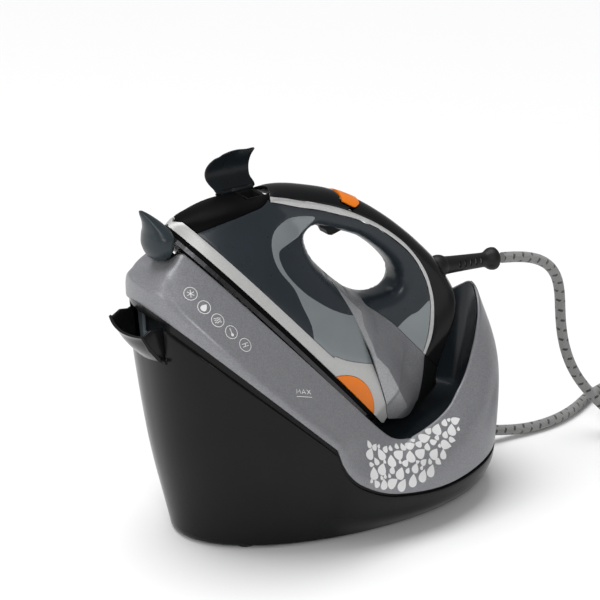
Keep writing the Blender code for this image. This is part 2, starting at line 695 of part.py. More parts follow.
# ---- iron: sole, heater and inner parts ---------------------------------------------------
def make_iron_base(frame):
    prism("soleplate", sole_outline(1.0), SOLE_BOTTOM_W, SOLE_TOP_W - GAP, steel(), frame, axis="z")
    shield = prism("heat_shield", sole_outline(0.0), SOLE_TOP_W, SHIELD_TOP_W, rubber(), frame, axis="z")
    room = prism("heater_room", sole_outline(14.0, points=12), SOLE_TOP_W - 5, SHIELD_TOP_W + 5,
                 parent=frame, axis="z")
    boolean(shield, room)
    prism("heater_casting", sole_outline(15.0, points=12), SOLE_TOP_W, 3.5, aluminium(), frame, axis="z")


def make_iron_inside(frame, face):
    """Water tank, thermostat and inner hose of the iron."""
    outline = [(32, 7), (122, 7), (122, 40), (60, 40), (44, 34)]
    tank = iron_form("iron_tank", inset=IRON_WALL + 1.4, drop=0.0, parent=frame, finish=clear_plastic())
    boolean(tank, prism("tank_region", outline, -REACH, REACH, parent=frame), "INTERSECT")
    inner = iron_form("tank_inner", inset=IRON_WALL + 3.2, drop=0.0, parent=frame)
    boolean(inner, prism("tank_inner_region", offset_outline(outline, 1.8), -REACH, REACH, parent=frame),
            "INTERSECT")
    boolean(tank, inner)
    mouth = rod("tank_mouth", (15, 0, -42), (15, 0, 0), 7.0, parent=face, sides=16)
    boolean(tank, mouth)
    hose("iron_steam_hose", [(214, 0, 108), (210, 1, 106), (214, 7, 96), (217, 8, 80), (222, 6, 50),
                             (215, 0, 20), (214, 0, 4.2)], 2.6, white_plastic(), frame)
    box("trigger_switch", (120, -5, 100.6), (133, 5, 106.2), white_plastic(), frame)


def hose(name, route, radius, finish, parent=None, spacing=8.0, resolution=2):
    """A bevelled poly curve along a smooth line through a few route points."""
    fine = [np.array(p) for p in rounded(route, closed=False, steps=24)]
    lengths = np.concatenate([[0], np.cumsum([np.linalg.norm(b - a) for a, b in zip(fine[:-1], fine[1:])])])
    count = max(int(round(lengths[-1] / spacing)), 3) + 1
    at = np.linspace(0, lengths[-1], count)
    points = np.stack([np.interp(at, lengths, [p[k] for p in fine]) for k in range(3)], 1)
    curve = bpy.data.curves.new(name, "CURVE")
    curve.dimensions = "3D"
    line = curve.splines.new("POLY")
    line.points.add(count - 1)
    for slot, point in zip(line.points, points):
        slot.co = (*(Vector(point) * MM), 1.0)
    curve.bevel_depth = radius * MM
    curve.bevel_resolution = resolution
    curve.use_fill_caps = True
    curve.render_resolution_u = 0
    curve.materials.append(finish)
    made = bpy.data.objects.new(name, curve)
    bpy.context.collection.objects.link(made)
    if parent is not None:
        made.parent = parent
    return made


# ---- steam cord and its boots -------------------------------------------------------------
BOOT_BALL = (117.5, 0.0, 187.5)
BOOT_DIRECTION = (1.0, 0.0, -0.055)
BOOT_LENGTH = 60.0
GLAND = (150.0, 21.0, 15.5)
GLAND_DIRECTION = (1.0, -0.05, -0.08)
GLAND_LENGTH = 30.0
GLAND_HOLE = 8.7
TUBE_TO_COIL = [(184, 0, 183.4), (200, 0, 181.5), (222, 0, 176), (241, 1, 163), (250, 2, 143),
                (252, 2, 118), (255, 0, 92), (263, -4, 66), (278, -10, 42), (294, -26, 22),
                (305, -46, 10), (316, -64, 5.6), (334, -79, 5.2), (352, -84, 5.2)]
TUBE_TO_BASE = [(352, 57, 5.2), (326, 48, 5.2), (296, 30, 5.2), (262, 18, 5.2), (232, 16, 5.4),
                (205, 18, 8.6), (186.5, 19.2, 12.6)]
BALL_RADIUS = 10.0


def make_boot(cover):
    """Ribbed strain relief with a ball foot that sits in a socket of the handle cover."""
    ball = [(d, math.sqrt(BALL_RADIUS ** 2 - d ** 2)) for d in (-9.2, -7.5, -5, -2, 1, 3.5, 5.4)]
    stem = [(7.0, 7.8), (13, 7.4), (46, 6.3)]
    collar = [(49.5, 7.2), (53.5, 9.4), (57.5, 9.9), (59.4, 8.6), (BOOT_LENGTH, 6.2)]
    turned("cord_boot", BOOT_BALL, BOOT_DIRECTION, ball + stem + collar, rubber(), sides=20)
    room = [(-10.2, 1.5), (-9, 5.2), (-6, 8.6), (-2, 10.3), (2, 10.4), (5, 9.6), (20, 9.0)]
    boolean(cover, turned("boot_socket", BOOT_BALL, BOOT_DIRECTION, room, None, sides=20))


def make_gland(shell):
    """Strain relief where the cord goes back into the base."""
    profile = [(-8, 8.6), (-3, 8.6), (-3, 8.0), (7, 8.0), (9, 8.4), (14, 8.0), (GLAND_LENGTH, 6.2)]
    turned("cord_gland", GLAND, GLAND_DIRECTION, profile, rubber(), sides=20)
    centre, along = Vector(GLAND), Vector(GLAND_DIRECTION).normalized()
    boolean(shell, rod("gland_hole", centre - 10 * along, centre + 25 * along, GLAND_HOLE, sides=20))


def make_cord():
    hose("steam_cord_upper", TUBE_TO_COIL, CORD_RADIUS, braid(), spacing=20.0, resolution=3)
    inner = COIL_MID_RADIUS - COIL_TURNS_WIDE * CORD_RADIUS
    outer = COIL_MID_RADIUS + COIL_TURNS_WIDE * CORD_RADIUS
    top = 2 * COIL_TURNS_HIGH * CORD_RADIUS
    rings = []
    for angle in np.linspace(0, 2 * math.pi, 32, endpoint=False):
        c, s = math.cos(angle), math.sin(angle)
        profile = [(inner, 2.0), (inner + 2, 0.4), (outer - 2, 0.4), (outer, 2.0), (outer, top - 2),
                   (outer - 2, top), (inner + 2, top), (inner, top - 2)]
        rings.append([(COIL_CENTRE[0] + r * c, COIL_CENTRE[1] + r * s, z) for r, z in profile])
    ring_solid("steam_cord_coil", rings, braid(), closed=True)
    hose("steam_cord_lower", TUBE_TO_BASE, CORD_RADIUS, braid(), spacing=20.0, resolution=3)
    make_tie(inner, outer, top)


def make_tie(inner, outer, top):
    """Strap around the coil's turns."""
    half, thick, gap = 5.0, 1.6, 1.4
    x0, x1 = COIL_CENTRE[0] + inner - gap, COIL_CENTRE[0] + outer + gap
    y = COIL_CENTRE[1]
    outline = [(x0 - thick, 0.05), (x0 - thick, top + gap + thick), (x1 + thick, top + gap + thick),
               (x1 + thick, 0.05), (x1, 0.05), (x1, top + gap), (x0, top + gap), (x0, 0.05)]
    return prism("coil_tie", outline, y - half, y + half, rubber())


# ---- lock lever and filler door of the base -----------------------------------------------
LEVER_SECTIONS = [  # height, half-width, front x, back x
    (241.5, 5, -149.5, -143), (244, 11, -153, -139), (249, 16.5, -156, -136),
    (255, 19, -157.3, -134.5), (261, 18.5, -157.0, -134), (266, 15.5, -156.6, -136),
    (271, 11.5, -157.2, -142), (276, 7.5, -158.8, -148), (280.5, 4, -160.5, -154),
    (283, 1.6, -161, -158)]


def make_lock_lever():
    """Thumb hook in front of the iron's toe; it rocks about its lower end."""
    rings = []
    for z, half, front, back in LEVER_SECTIONS:
        middle, reach = (front + back) / 2, (back - front) / 2
        ring = []
        for a in np.linspace(0, 2 * math.pi, 20, endpoint=False):
            ring.append((middle - reach * math.cos(a), half * math.sin(a), z))
        rings.append(ring)
    lever = ring_solid("lock_lever", rings, slate())
    toe = [(s - 3.0, y * 1.06 + math.copysign(2.2, y)) for s, y in sole_outline(0.0)]
    clear = prism("toe_room", toe, -15.0, 60.0, axis="z")
    clear.parent = bpy.data.objects["iron_frame"]
    boolean(lever, clear)
    # the toe must also be free to leave straight upwards
    s = np.linspace(0.0, 30.0, 12)
    x = TOE[0] + math.cos(TILT) * s + math.sin(TILT) * SOLE_BOTTOM_W
    half = sole_half(s) + 1.6
    right = [(a - 0.8, -b) for a, b in zip(x, half)]
    left = [(a, -b) for a, b in right]
    boolean(lever, prism("toe_way_up", right + left[::-1], 261.0, 320.0, axis="z"))


def door_skin(depth, ys):
    """Rows of points across the door's scooped leaf, from the hinge to the lip."""
    rows = []
    for height in (-1.0, 6.0, 14.0, 22.0, DOOR_LENGTH):
        belly = 1.6 * math.sin(math.pi * min(max(height, 0) / DOOR_LENGTH, 1))
        rows.append([(depth - 1.2 - belly - DOOR_BULGE * (1 - (y / DOOR_HALF) ** 2), y, height)
                     for y in ys])
    return rows


def make_filler_door(shell):
    """Tilting door of the base's filler, a funnel-shaped pocket with two cheeks."""
    x, z = DOOR_HINGE
    half = DOOR_HALF
    ys = np.linspace(-half, half, 9)
    front, back = door_skin(0.0, ys), door_skin(2.2, ys)
    rings = [[row[k] for row in front] + [row[k] for row in reversed(back)] for k in range(len(ys))]
    door = ring_solid("filler_door", rings, gloss_black())
    tilt = Matrix.Rotation(-DOOR_TILT, 4, "Y")
    for side in (-1, 1):
        span = sorted((side * (half - 0.1), side * (half - 2.2)))
        cheek = prism(f"door_cheek_{side}", [(-3.0, 0.5), (2.0, -2.0), (15.5, 20.5), (-2.2, 27.5)], *span)
        boolean(door, cheek, "UNION")
        cheek.matrix_world = Matrix.Translation((x * MM, 0, z * MM)) @ tilt
    barrel = rod("door_barrel", (0, -half, 0), (0, half, 0), 2.8, sides=14)
    boolean(door, barrel, "UNION")
    barrel.matrix_world = Matrix.Translation((x * MM, 0, z * MM))
    bore = rod("door_bore", (0, -40, 0), (0, 40, 0), 1.75, sides=14)
    boolean(door, bore)
    bore.matrix_world = Matrix.Translation((x * MM, 0, z * MM))
    door.matrix_world = Matrix.Translation((x * MM, 0, z * MM)) @ tilt
    rod("door_pin", (x, -34, z), (x, 34, z), 1.4, steel(), sides=12)
    boolean(shell, rod("door_pin_hole", (x, -36, z), (x, 36, z), 1.75, sides=12))


# ---- inside and under the base ------------------------------------------------------------
FOOT_PLACES = [(-95, -42), (-95, 42), (105, -42), (105, 42)]
FOOT_RADIUS = 9.0
SCREW_PLACES = [(-55, -56), (-55, 56), (75, -54), (75, 54)]
SCREW_HEAD = 3.4
SCREW_SHANK = 1.9
TANK_LEVELS = (0.12, 0.3, 0.5, 0.75, 1.0, 1.25, 1.5, 1.75, 1.95)


def make_underside():
    """Bottom plate with the boiler's saddle and the pump's mount, four feet and four screws."""
    outline = [tuple(p[:2]) for p in base_ring(0.0, SHELL_WALL + GAP)]
    low, high = FOOT_HEIGHT + 0.4, FOOT_HEIGHT + 2.9
    plate = prism("base_plate", outline, low, high, rubber(), axis="z")
    boolean(plate, box("boiler_saddle", (26, -32, 5), (46, 32, 10.6)), "UNION")
    boolean(plate, box("pump_mount", (90, -42, 5), (110, -16, 10.7)), "UNION")
    for i, (x, y) in enumerate(FOOT_PLACES, 1):
        profile = [(0, FOOT_RADIUS - 1.0), (0.8, FOOT_RADIUS), (FOOT_HEIGHT, FOOT_RADIUS)]
        turned(f"foot_{i}", (x, y, 0), (0, 0, 1), profile, rubber(), sides=20)
    for i, (x, y) in enumerate(SCREW_PLACES, 1):
        profile = [(0, SCREW_HEAD), (1.6, SCREW_HEAD), (3.2, SCREW_SHANK), (12, SCREW_SHANK)]
        turned(f"base_screw_{i}", (x, y, FOOT_HEIGHT + 0.9), (0, 0, 1), profile, steel(), sides=12)
        boolean(plate, rod(f"screw_room_{i}", (x, y, 0), (x, y, 9), SCREW_HEAD + 0.5, sides=12))


def tank_side(w, front, rear, low):
    """Side profile of the tank: its lid runs along the sole, w off the iron's base plane."""
    return [(front, low), (rear, low), (rear, sole_line_z(rear, w)), (-128, sole_line_z(-128, w)),
            (front, 212)]


def make_water_tank():
    """Tank that fills the toe end of the base, with a wide mouth behind the filler door."""
    tank = ring_solid("water_tank", [base_ring(level, 7.0) for level in TANK_LEVELS], clear_plastic())
    boolean(tank, prism("tank_region", tank_side(-26.0, -146, -24, 9.0), -110, 110), "INTERSECT")
    hollow = ring_solid("tank_hollow", [base_ring(level, 9.0) for level in TANK_LEVELS], None)
    boolean(hollow, prism("hollow_region", tank_side(-28.5, -144, -26, 11.0), -110, 110), "INTERSECT")
    boolean(tank, hollow)
    boolean(tank, box("filler_mouth", (-170, -DOOR_HALF - 2, 172), (-139, DOOR_HALF + 2, 199)))


BOILER_AXIS = (36.0, 34.0)
BOILER_START_Y = -56.0
BOILER_PROFILE = [(0, 8), (1.5, 16), (5, 21), (10, 23), (102, 23), (107, 21), (110.5, 16), (112, 8)]
PUMP_AXIS = (100.0, 26.0)
PUMP_PROFILE = [(0, 6), (6, 6), (6.01, 15), (38, 15), (38.01, 5), (44, 5)]
TUBE_RADIUS = 2.6


def make_boiler():
    """Pressure boiler with its safety valve on top and its thermostat on the end of the board."""
    x, z = BOILER_AXIS
    turned("boiler", (x, BOILER_START_Y, z), (0, 1, 0), BOILER_PROFILE, steel(), sides=28)
    turned("safety_valve", (x, 30, z + 23.3), (0, 0, 1), [(0, 3.2), (3.5, 3.2)], brass(), sides=12)
    turned("boiler_thermostat", (x - 23.4, 0, z), (-1, 0, 0), [(0, 7), (3.5, 7), (3.5, 4.5), (7, 4.5)],
           brass(), sides=16)


def make_pump_and_valve():
    x, z = PUMP_AXIS
    turned("pump", (x, -50, z), (0, 1, 0), PUMP_PROFILE, white_plastic(), sides=20)
    valve = box("steam_valve", (88, 16, 8), (110, 34, 30), brass())
    boolean(valve, rod("valve_coil", (99, 25, 29), (99, 25, 46), 8, sides=16), "UNION")


def make_control_board():
    """Board that stands across the base, with three tall components."""
    face = -16.4
    board = box("control_board", (face - 1.6, -40, 12), (face, 46, 72), green_board())
    components = [(-38, -20, 20, 36, 12), (-12, 10, 22, 52, 15), (18, 36, 24, 44, 9)]
    for k, (y0, y1, z0, z1, depth) in enumerate(components):
        boolean(board, box(f"board_part_{k}", (face - 0.2, y0, z0), (face + depth, y1, z1)), "UNION")


def make_tubes():
    """Water from the tank to the pump and the boiler, steam to the valve and the cord."""
    suction = [(-22, -40, 15), (-14, -48, 15), (0, -62, 15), (35, -67, 15), (68, -64, 18),
               (86, -60, 24), (98, -57, 26), (100, -51.6, 26)]
    feed = [(100, -4.4, 26), (99, 2, 26), (88, 6, 29), (72, 4, 33), (59.5, 2, 34)]
    steam = [(59.5, 34, 36), (68, 33, 36), (78, 27, 27), (86.6, 25, 24)]
    outlet = [(110.5, 25, 18), (118, 25, 17.6), (130, 23.5, 17), (141.2, 21.6, 16.2)]
    hose("suction_tube", suction, TUBE_RADIUS, white_plastic())
    hose("feed_tube", feed, 2.4, white_plastic())
    hose("steam_tube", steam, TUBE_RADIUS, steel())
    hose("outlet_tube", outlet, TUBE_RADIUS, steel())


SWITCH = (6.0, 84.5, 24.0)
SWITCH_HALF = (11.0, 7.5)
ROCKER_HALF = 5.1
MAINS_GLAND = (46.0, 72.0, 17.0)


def make_power_switch(shell):
    """Rocker switch and mains gland on the far side of the base."""
    x, y, z = SWITCH
    across, up = SWITCH_HALF
    housing = box("switch_housing", (x - across, y - 12, z - up), (x + across, y + 4.2, z + up), rubber())
    low, high = (x - across + 2, y - 8, z - up + 2), (x + across - 2, y + 8, z + up - 2)
    boolean(housing, box("rocker_room", low, high))
    across, up = across + 0.4, up + 0.4
    boolean(shell, box("switch_cut", (x - across, y - 20, z - up), (x + across, y + 24, z + up)))
    outline = [(-8.4, 5.2), (0, 3.4), (8.4, 5.2), (8.2, 2.0), (2, -3.5), (-2, -3.5), (-8.2, 2.0)]
    outline = [(x + a, y - 0.5 + b) for a, b in outline]
    prism("power_rocker", outline, z - ROCKER_HALF, z + ROCKER_HALF, rubber(), axis="z")
    x, y, z = MAINS_GLAND
    profile = [(0, 7.4), (6, 7.4), (18, 7.0), (19, 4.6)]
    turned("mains_gland", MAINS_GLAND, (0, 1, 0), profile, rubber(), sides=18)
    boolean(shell, rod("mains_hole", (x, y - 12, z), (x, y + 38, z), 7.9, sides=18))


def make_rests(frame):
    """Two heat-proof pads under the sole."""
    low, high = DECK_W + 0.2, SOLE_BOTTOM_W - 0.3
    front = [(30, -12), (62, -22), (62, 22), (30, 12)]
    rear = [(140, -36), (185, -42), (185, 42), (140, 36)]
    prism("rest_pad_front", front, low, high, silicone(), frame, axis="z")
    prism("rest_pad_rear", rear, low, high, silicone(), frame, axis="z")


# ---- whole object ----------------------------------------------------------------------------------
def build():
    clear_scene()
    shell = make_base_shell()
    make_upper_cover()
    make_cradle_liner()
    make_underside()
    make_water_tank()
    make_boiler()
    make_pump_and_valve()
    make_control_board()
    make_tubes()
    make_power_switch(shell)
    frame = iron_frame()
    make_rests(frame)
    face = face_frame(frame)
    body, handle_cover, nose = make_iron_casings(frame)
    make_top_button(frame, handle_cover)
    make_steam_trigger(frame, body)
    make_iron_base(frame)
    make_iron_inside(frame, face)
    make_filler_flap(face)
    make_filler_well(face, nose)
    make_lock_lever()
    make_filler_door(shell)
    make_boot(handle_cover)
    make_gland(shell)
    make_cord()


build()
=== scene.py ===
"""Looks of the steam generator iron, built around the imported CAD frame.

The shape functions work in millimetres in the frame of the CAD model: +X towards the iron's heel,
-X towards its toe, +Z up, symmetric about y = 0. The iron's own axes are s along the sole from the
toe, y across and w off the sole.
"""

import math

import bmesh
import bpy
import numpy as np
from mathutils import Matrix, Quaternion, Vector
from mathutils.bvhtree import BVHTree
from mathutils.geometry import delaunay_2d_cdt


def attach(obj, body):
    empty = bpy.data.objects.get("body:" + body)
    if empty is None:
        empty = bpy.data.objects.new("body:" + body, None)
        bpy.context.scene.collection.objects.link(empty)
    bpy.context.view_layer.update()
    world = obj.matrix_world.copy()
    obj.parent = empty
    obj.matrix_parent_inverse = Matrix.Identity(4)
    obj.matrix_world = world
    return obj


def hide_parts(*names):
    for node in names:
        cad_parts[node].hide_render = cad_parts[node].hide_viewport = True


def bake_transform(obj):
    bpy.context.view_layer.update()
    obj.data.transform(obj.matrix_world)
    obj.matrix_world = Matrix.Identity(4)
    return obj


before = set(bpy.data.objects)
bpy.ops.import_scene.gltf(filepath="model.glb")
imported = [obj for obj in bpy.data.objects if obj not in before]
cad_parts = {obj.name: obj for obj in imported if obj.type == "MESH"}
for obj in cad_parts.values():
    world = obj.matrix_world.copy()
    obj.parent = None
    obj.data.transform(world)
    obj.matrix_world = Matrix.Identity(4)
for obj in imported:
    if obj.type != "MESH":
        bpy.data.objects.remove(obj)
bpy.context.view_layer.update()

# ---- dimensions shared with the CAD model -------------------------------------------------
MM = 0.001
GAP = 0.35
SHELL_WALL = 2.4
COVER_WALL = 2.4
LINER_WALL = 2.2
FOOT_HEIGHT = 3.0
SPLIT_SLOPE = -0.953
SPLIT_TOE_Z = 204.0
SPLIT_TOE_X = -160.0
NOSE_TOP_X = -43.0
CREST_Z = 168.0
CUP_RIM_Z = 77.5
NOTCH_HALF = 19.0
NOTCH_DEPTH = 17.0
HEEL_CLIMB = [(0.0, CREST_Z), (0.1, 166.6), (0.19, 163.0), (0.28, 158.5), (0.37, 153.5), (0.5, 146.0),
              (0.6, 139.5), (0.67, 133.0), (0.75, 125.5), (0.85, 114.5), (0.95, 105.5), (1.02, 100.5),
              (1.12, 92.0), (1.24, 86.5), (1.42, 81.0), (1.57, CUP_RIM_Z)]
BOTTOM = dict(toe=-136.0, heel=158.0, centre=14.0, half=80.0, p_toe=2.05, p_heel=2.1)
BELLY = dict(toe=-152.0, heel=160.0, centre=12.0, half=97.0, p_toe=2.2, p_heel=2.15)
SPLIT = dict(toe=-164.0, heel=162.0, centre=10.0, half=105.0, p_toe=2.3, p_heel=2.15)
SHOULDER = dict(toe=-160.0, heel=168.0, centre=18.0, half=98.0, p_toe=2.1, p_heel=2.0)
RIM = dict(toe=-140.0, heel=154.0, centre=40.0, half=79.0, p_toe=1.75, p_heel=1.75)
TILT = math.radians(48.0)
TOE = (-134.0, 0.0, 271.0)
SOLE_BOTTOM_W = -12.0
SOLE_LENGTH = 246.0
SOLE_HALF = 58.0
SOLE_WIDEST = 185.0
RIM_W = -13.4
DECK_W = -16.5
DOOR_HALF = 28.0
DOOR_HINGE = (-158.5, 169.0)
DOOR_TILT = math.radians(35.0)
DOOR_LENGTH = 29.0
DOOR_BULGE = 5.2
CORD_RADIUS = 4.7
COIL_CENTRE = (374.0, -14.0)
TOP_LINE = [(0, -4.4), (4, 7), (21, 38.6), (38.5, 60), (43.5, 68), (50, 77), (59.5, 86), (75, 97),
            (94, 108.5), (115, 117.5), (140, 124.5), (164, 129), (191, 132), (214, 133), (232, 131),
            (250, 127), (260, 119), (267, 106), (276, 86), (290, 60)]
HEEL_LINE = [(0, -5), (249, -5), (256, 3), (271, 13), (283, 30), (290, 50)]
BAR_HALF = [(0, 3), (20, 12), (40, 16), (60, 17), (120, 16.5), (200, 17), (240, 19), (265, 24), (290, 25)]
HEEL_HALF = [(240, 55), (256, 50), (271, 44), (283, 38), (290, 32)]
WAIST_HEIGHT = 70.0
BAR_ROUND = 15.0
SHROUD_TOP = [(15, 4.5), (150, 4.5), (165, 7), (180, 12.5), (204.5, 25)]
NOSE_LINE = [(14.5, 5.2), (24.6, 25), (36, 44), (43, 54.5), (46.5, 64)]
COVER_LINE = [(46.5, 66.5), (57, 74), (68, 80.5), (82.5, 89.5), (100, 99), (119, 107), (142.5, 114.5),
              (166, 119), (185, 120), (206, 117.5), (221, 112.5), (236, 104), (248.5, 92), (257, 79),
              (262, 66)]
PANEL_TOP = [(262, 66), (240, 66.5), (217, 66), (197, 63), (181, 60.5), (176, 68)]
PANEL_FRONT = [(128, 62), (133, 56.5), (152, 49.3), (170, 43.3), (187, 34.4), (204.5, 25)]
HOLE_LINE = [(97, 68), (99.5, 76.5), (112, 84), (137.5, 96.5), (155, 101), (172, 103), (188, 102),
             (198, 97), (201.5, 89), (198, 80), (189, 70.5), (176, 63.5), (158, 59), (136, 56.5),
             (115, 56.5), (101.5, 61)]
TRIM_LINE = [(48.5, 63), (57, 68.2), (72.4, 76.8), (88.3, 86.7), (106.3, 96), (121.6, 103.6),
             (145, 111.8), (169.7, 116.2), (190.8, 117), (212.6, 112.6), (226, 106.6), (237.5, 98.5),
             (247, 88), (254, 77), (259, 66)]
FACE_START = (21.0, 38.6)
FACE_ANGLE = math.atan2(60 - 38.6, 38.5 - 21.0)
FLAP_AXIS_Y = 16.5
FLAP_AXIS_N = -3.0
FLAP_OPEN = math.radians(88.0)
WELL = dict(u0=19.5, u1=36.0, half=10.5)
BALL_RADIUS = 10.0
LEVER_SECTIONS = [  # height, half-width, front x, back x
    (241.5, 5, -149.5, -143), (244, 11, -153, -139), (249, 16.5, -156, -136),
    (255, 19, -157.3, -134.5), (261, 18.5, -157.0, -134), (266, 15.5, -156.6, -136),
    (271, 11.5, -157.2, -142), (276, 7.5, -158.8, -148), (280.5, 4, -160.5, -154),
    (283, 1.6, -161, -158)]
BOOT_BALL = (117.5, 0.0, 187.5)
BOOT_DIRECTION = (1.0, 0.0, -0.055)
GLAND = (150.0, 21.0, 15.5)
GLAND_DIRECTION = (1.0, -0.05, -0.08)
TUBE_TO_COIL = [(184, 0, 183.4), (200, 0, 181.5), (222, 0, 176), (241, 1, 163), (250, 2, 143),
                (252, 2, 118), (255, 0, 92), (263, -4, 66), (278, -10, 42), (294, -26, 22),
                (305, -46, 10), (316, -64, 5.6), (334, -79, 5.2), (352, -84, 5.2)]
TUBE_TO_BASE = [(352, 57, 5.2), (326, 48, 5.2), (296, 30, 5.2), (262, 18, 5.2), (232, 16, 5.4),
                (205, 18, 8.6), (186.5, 19.2, 12.6)]


# ---- shape functions ----------------------------------------------------------------------
def curve_through(knots, value):
    """Smooth monotone curve through a few (x, y) knots, flat beyond its ends."""
    xs = np.array([k[0] for k in knots], float)
    ys = np.array([k[1] for k in knots], float)
    value = np.clip(value, xs[0], xs[-1])
    step = np.diff(xs)
    slope = np.diff(ys) / step
    tangent = np.zeros(len(xs))
    tangent[0], tangent[-1] = slope[0], slope[-1]
    for i in range(1, len(xs) - 1):
        if slope[i - 1] * slope[i] > 0:
            w1 = 2 * step[i] + step[i - 1]
            w2 = step[i] + 2 * step[i - 1]
            tangent[i] = (w1 + w2) / (w1 / slope[i - 1] + w2 / slope[i])
    i = np.clip(np.searchsorted(xs, value, side="right") - 1, 0, len(xs) - 2)
    h = step[i]
    f = (value - xs[i]) / h
    a = (1 + 2 * f) * (1 - f) ** 2 * ys[i] + f * (1 - f) ** 2 * h * tangent[i]
    b = f * f * (3 - 2 * f) * ys[i + 1] + f * f * (f - 1) * h * tangent[i + 1]
    return a + b


def smooth_max(a, b, soft):
    return 0.5 * (a + b + np.sqrt((a - b) ** 2 + soft * soft))


def split_z(x):
    """Height of the joint between the black shell and the silver cover."""
    line = SPLIT_TOE_Z + SPLIT_SLOPE * (x - SPLIT_TOE_X)
    nose = [(NOSE_TOP_X, 93.0), (-38.0, 77.0), (-20.0, 57.0), (13.0, 43.0),
            (68.0, 37.0), (111.0, 39.0), (170.0, 43.0)]
    return np.where(x < NOSE_TOP_X, line, curve_through(nose, x))


def sole_line_z(x, w):
    """Height at x of the plane that lies w off the iron's own base plane."""
    return TOE[2] + (w - (x - TOE[0]) * math.sin(TILT)) / math.cos(TILT)


def rim_z(x, y, angle):
    """Height of the cover's rim: along the sole, down to the cup, up to the crest."""
    along_sole = sole_line_z(x, RIM_W)
    side = smooth_max(along_sole, CUP_RIM_Z - 1.5, 9.0)
    fold = np.abs((angle + math.pi) % (2 * math.pi) - math.pi)
    heel = curve_through(HEEL_CLIMB, fold)
    near_lever = (x < 0) & (np.abs(y) < NOTCH_HALF)
    notch = np.where(near_lever, NOTCH_DEPTH * (1 - (y / NOTCH_HALF) ** 2) ** 2, 0)
    return np.where(x > RIM["centre"], heel, side) - notch


def plan(angle, toe, heel, centre, half, p_toe, p_heel):
    """Egg-shaped plan outline: two half super-ellipses that share their widest line."""
    c, s = np.cos(angle), np.sin(angle)
    reach = np.where(c > 0, heel - centre, centre - toe)
    power = np.where(c > 0, p_heel, p_toe)
    x = centre + reach * np.sign(c) * np.abs(c) ** (2 / power)
    y = half * np.sign(s) * np.abs(s) ** (2 / power)
    return x, y


def base_point(angle, level):
    """Point of the outer surface: level 0 at the bottom edge, 1 at the split, 2 at the rim."""
    x0, y0 = plan(angle, **BOTTOM)
    x1, y1 = plan(angle, **BELLY)
    x2, y2 = plan(angle, **SPLIT)
    x3, y3 = plan(angle, **SHOULDER)
    x4, y4 = plan(angle, **RIM)
    z0 = np.full_like(x0, FOOT_HEIGHT)
    z2 = split_z(x2)
    z1 = z0 + 0.45 * (split_z(x1) - z0)
    z4 = rim_z(x4, y4, angle)
    z3 = z2 + 0.58 * (z4 - z2)
    knots = [np.stack(k, -1) for k in ((x0, y0, z0), (x1, y1, z1), (x2, y2, z2),
                                       (x3, y3, z3), (x4, y4, z4))]
    places = [0.0, 0.5, 1.0, 1.5, 2.0]
    return spline_at(knots, places, level)


def spline_at(knots, places, level):
    """Catmull-Rom curve through the knots, each an array of points, read at one level."""
    i = min(max(int(np.searchsorted(places, level, side="right")) - 1, 0), len(places) - 2)
    before = knots[i - 1] if i > 0 else 2 * knots[i] - knots[i + 1]
    after = knots[i + 2] if i + 2 < len(knots) else 2 * knots[i + 1] - knots[i]
    f = (level - places[i]) / (places[i + 1] - places[i])
    a, b = knots[i], knots[i + 1]
    return 0.5 * (2 * a + (b - before) * f + (2 * before - 5 * a + 4 * b - after) * f ** 2
                  + (3 * a - before - 3 * b + after) * f ** 3)


def base_normal(angle, level):
    """Outward normal of the outer surface."""
    small = 0.01
    low, high = max(level - small, 0.0), min(level + small, 2.0)
    across = base_point(angle + small, level) - base_point(angle - small, level)
    up = base_point(angle, high) - base_point(angle, low)
    normal = np.cross(across, up)
    return normal / np.linalg.norm(normal, axis=-1, keepdims=True)


def deck_z(x):
    """Side profile of the cradle: parallel to the sole, then a bowl, then the rear wall."""
    slope = sole_line_z(x, DECK_W)
    return smooth_max(slope, 66.0, 6.0)


def sole_half(s):
    """Half-width of the sole at s: pointed toe, widest at SOLE_WIDEST, slight taper behind."""
    toe = SOLE_HALF * np.clip(1 - (1 - np.clip(s, 0, SOLE_WIDEST) / SOLE_WIDEST) ** 2, 0, 1) ** 0.62
    tail = 3.5 * np.clip((s - SOLE_WIDEST) / (SOLE_LENGTH - SOLE_WIDEST), 0, 1) ** 2
    return toe - tail


def sole_outline(inset, length=SOLE_LENGTH, points=17):
    """Closed outline of the sole in (s, y), moved inwards by inset, with round heel corners."""
    toe_s = 1.4 * inset + 0.6
    heel_s = length - inset
    corner = 16.0
    share = np.linspace(0, 1, points) ** 1.7
    s = toe_s + (heel_s - corner - toe_s) * share
    half = np.maximum(sole_half(s + 0.2) - inset, 0.8)
    half[0] = 0.8
    side = list(zip(s, half))
    last = side[-1][1]
    for turn in np.linspace(0, math.pi / 2, 5)[1:]:
        side.append((heel_s - corner + corner * math.sin(turn), last - corner * (1 - math.cos(turn))))
    return side + [(a, -b) for a, b in reversed(side)]


def rounded(points, closed=True, steps=5):
    """Smooths a coarse outline with a Catmull-Rom curve."""
    made = []
    count = len(points)
    for i in range(count if closed else count - 1):
        p = [np.array(points[(i + k) % count] if closed else points[min(max(i + k, 0), count - 1)], float)
             for k in (-1, 0, 1, 2)]
        for f in np.arange(steps) / steps:
            made.append(tuple(0.5 * (2 * p[1] + (p[2] - p[0]) * f
                                     + (2 * p[0] - 5 * p[1] + 4 * p[2] - p[3]) * f ** 2
                                     + (3 * p[1] - p[0] - 3 * p[2] + p[3]) * f ** 3)))
    if not closed:
        made.append(tuple(map(float, points[-1])))
    return made


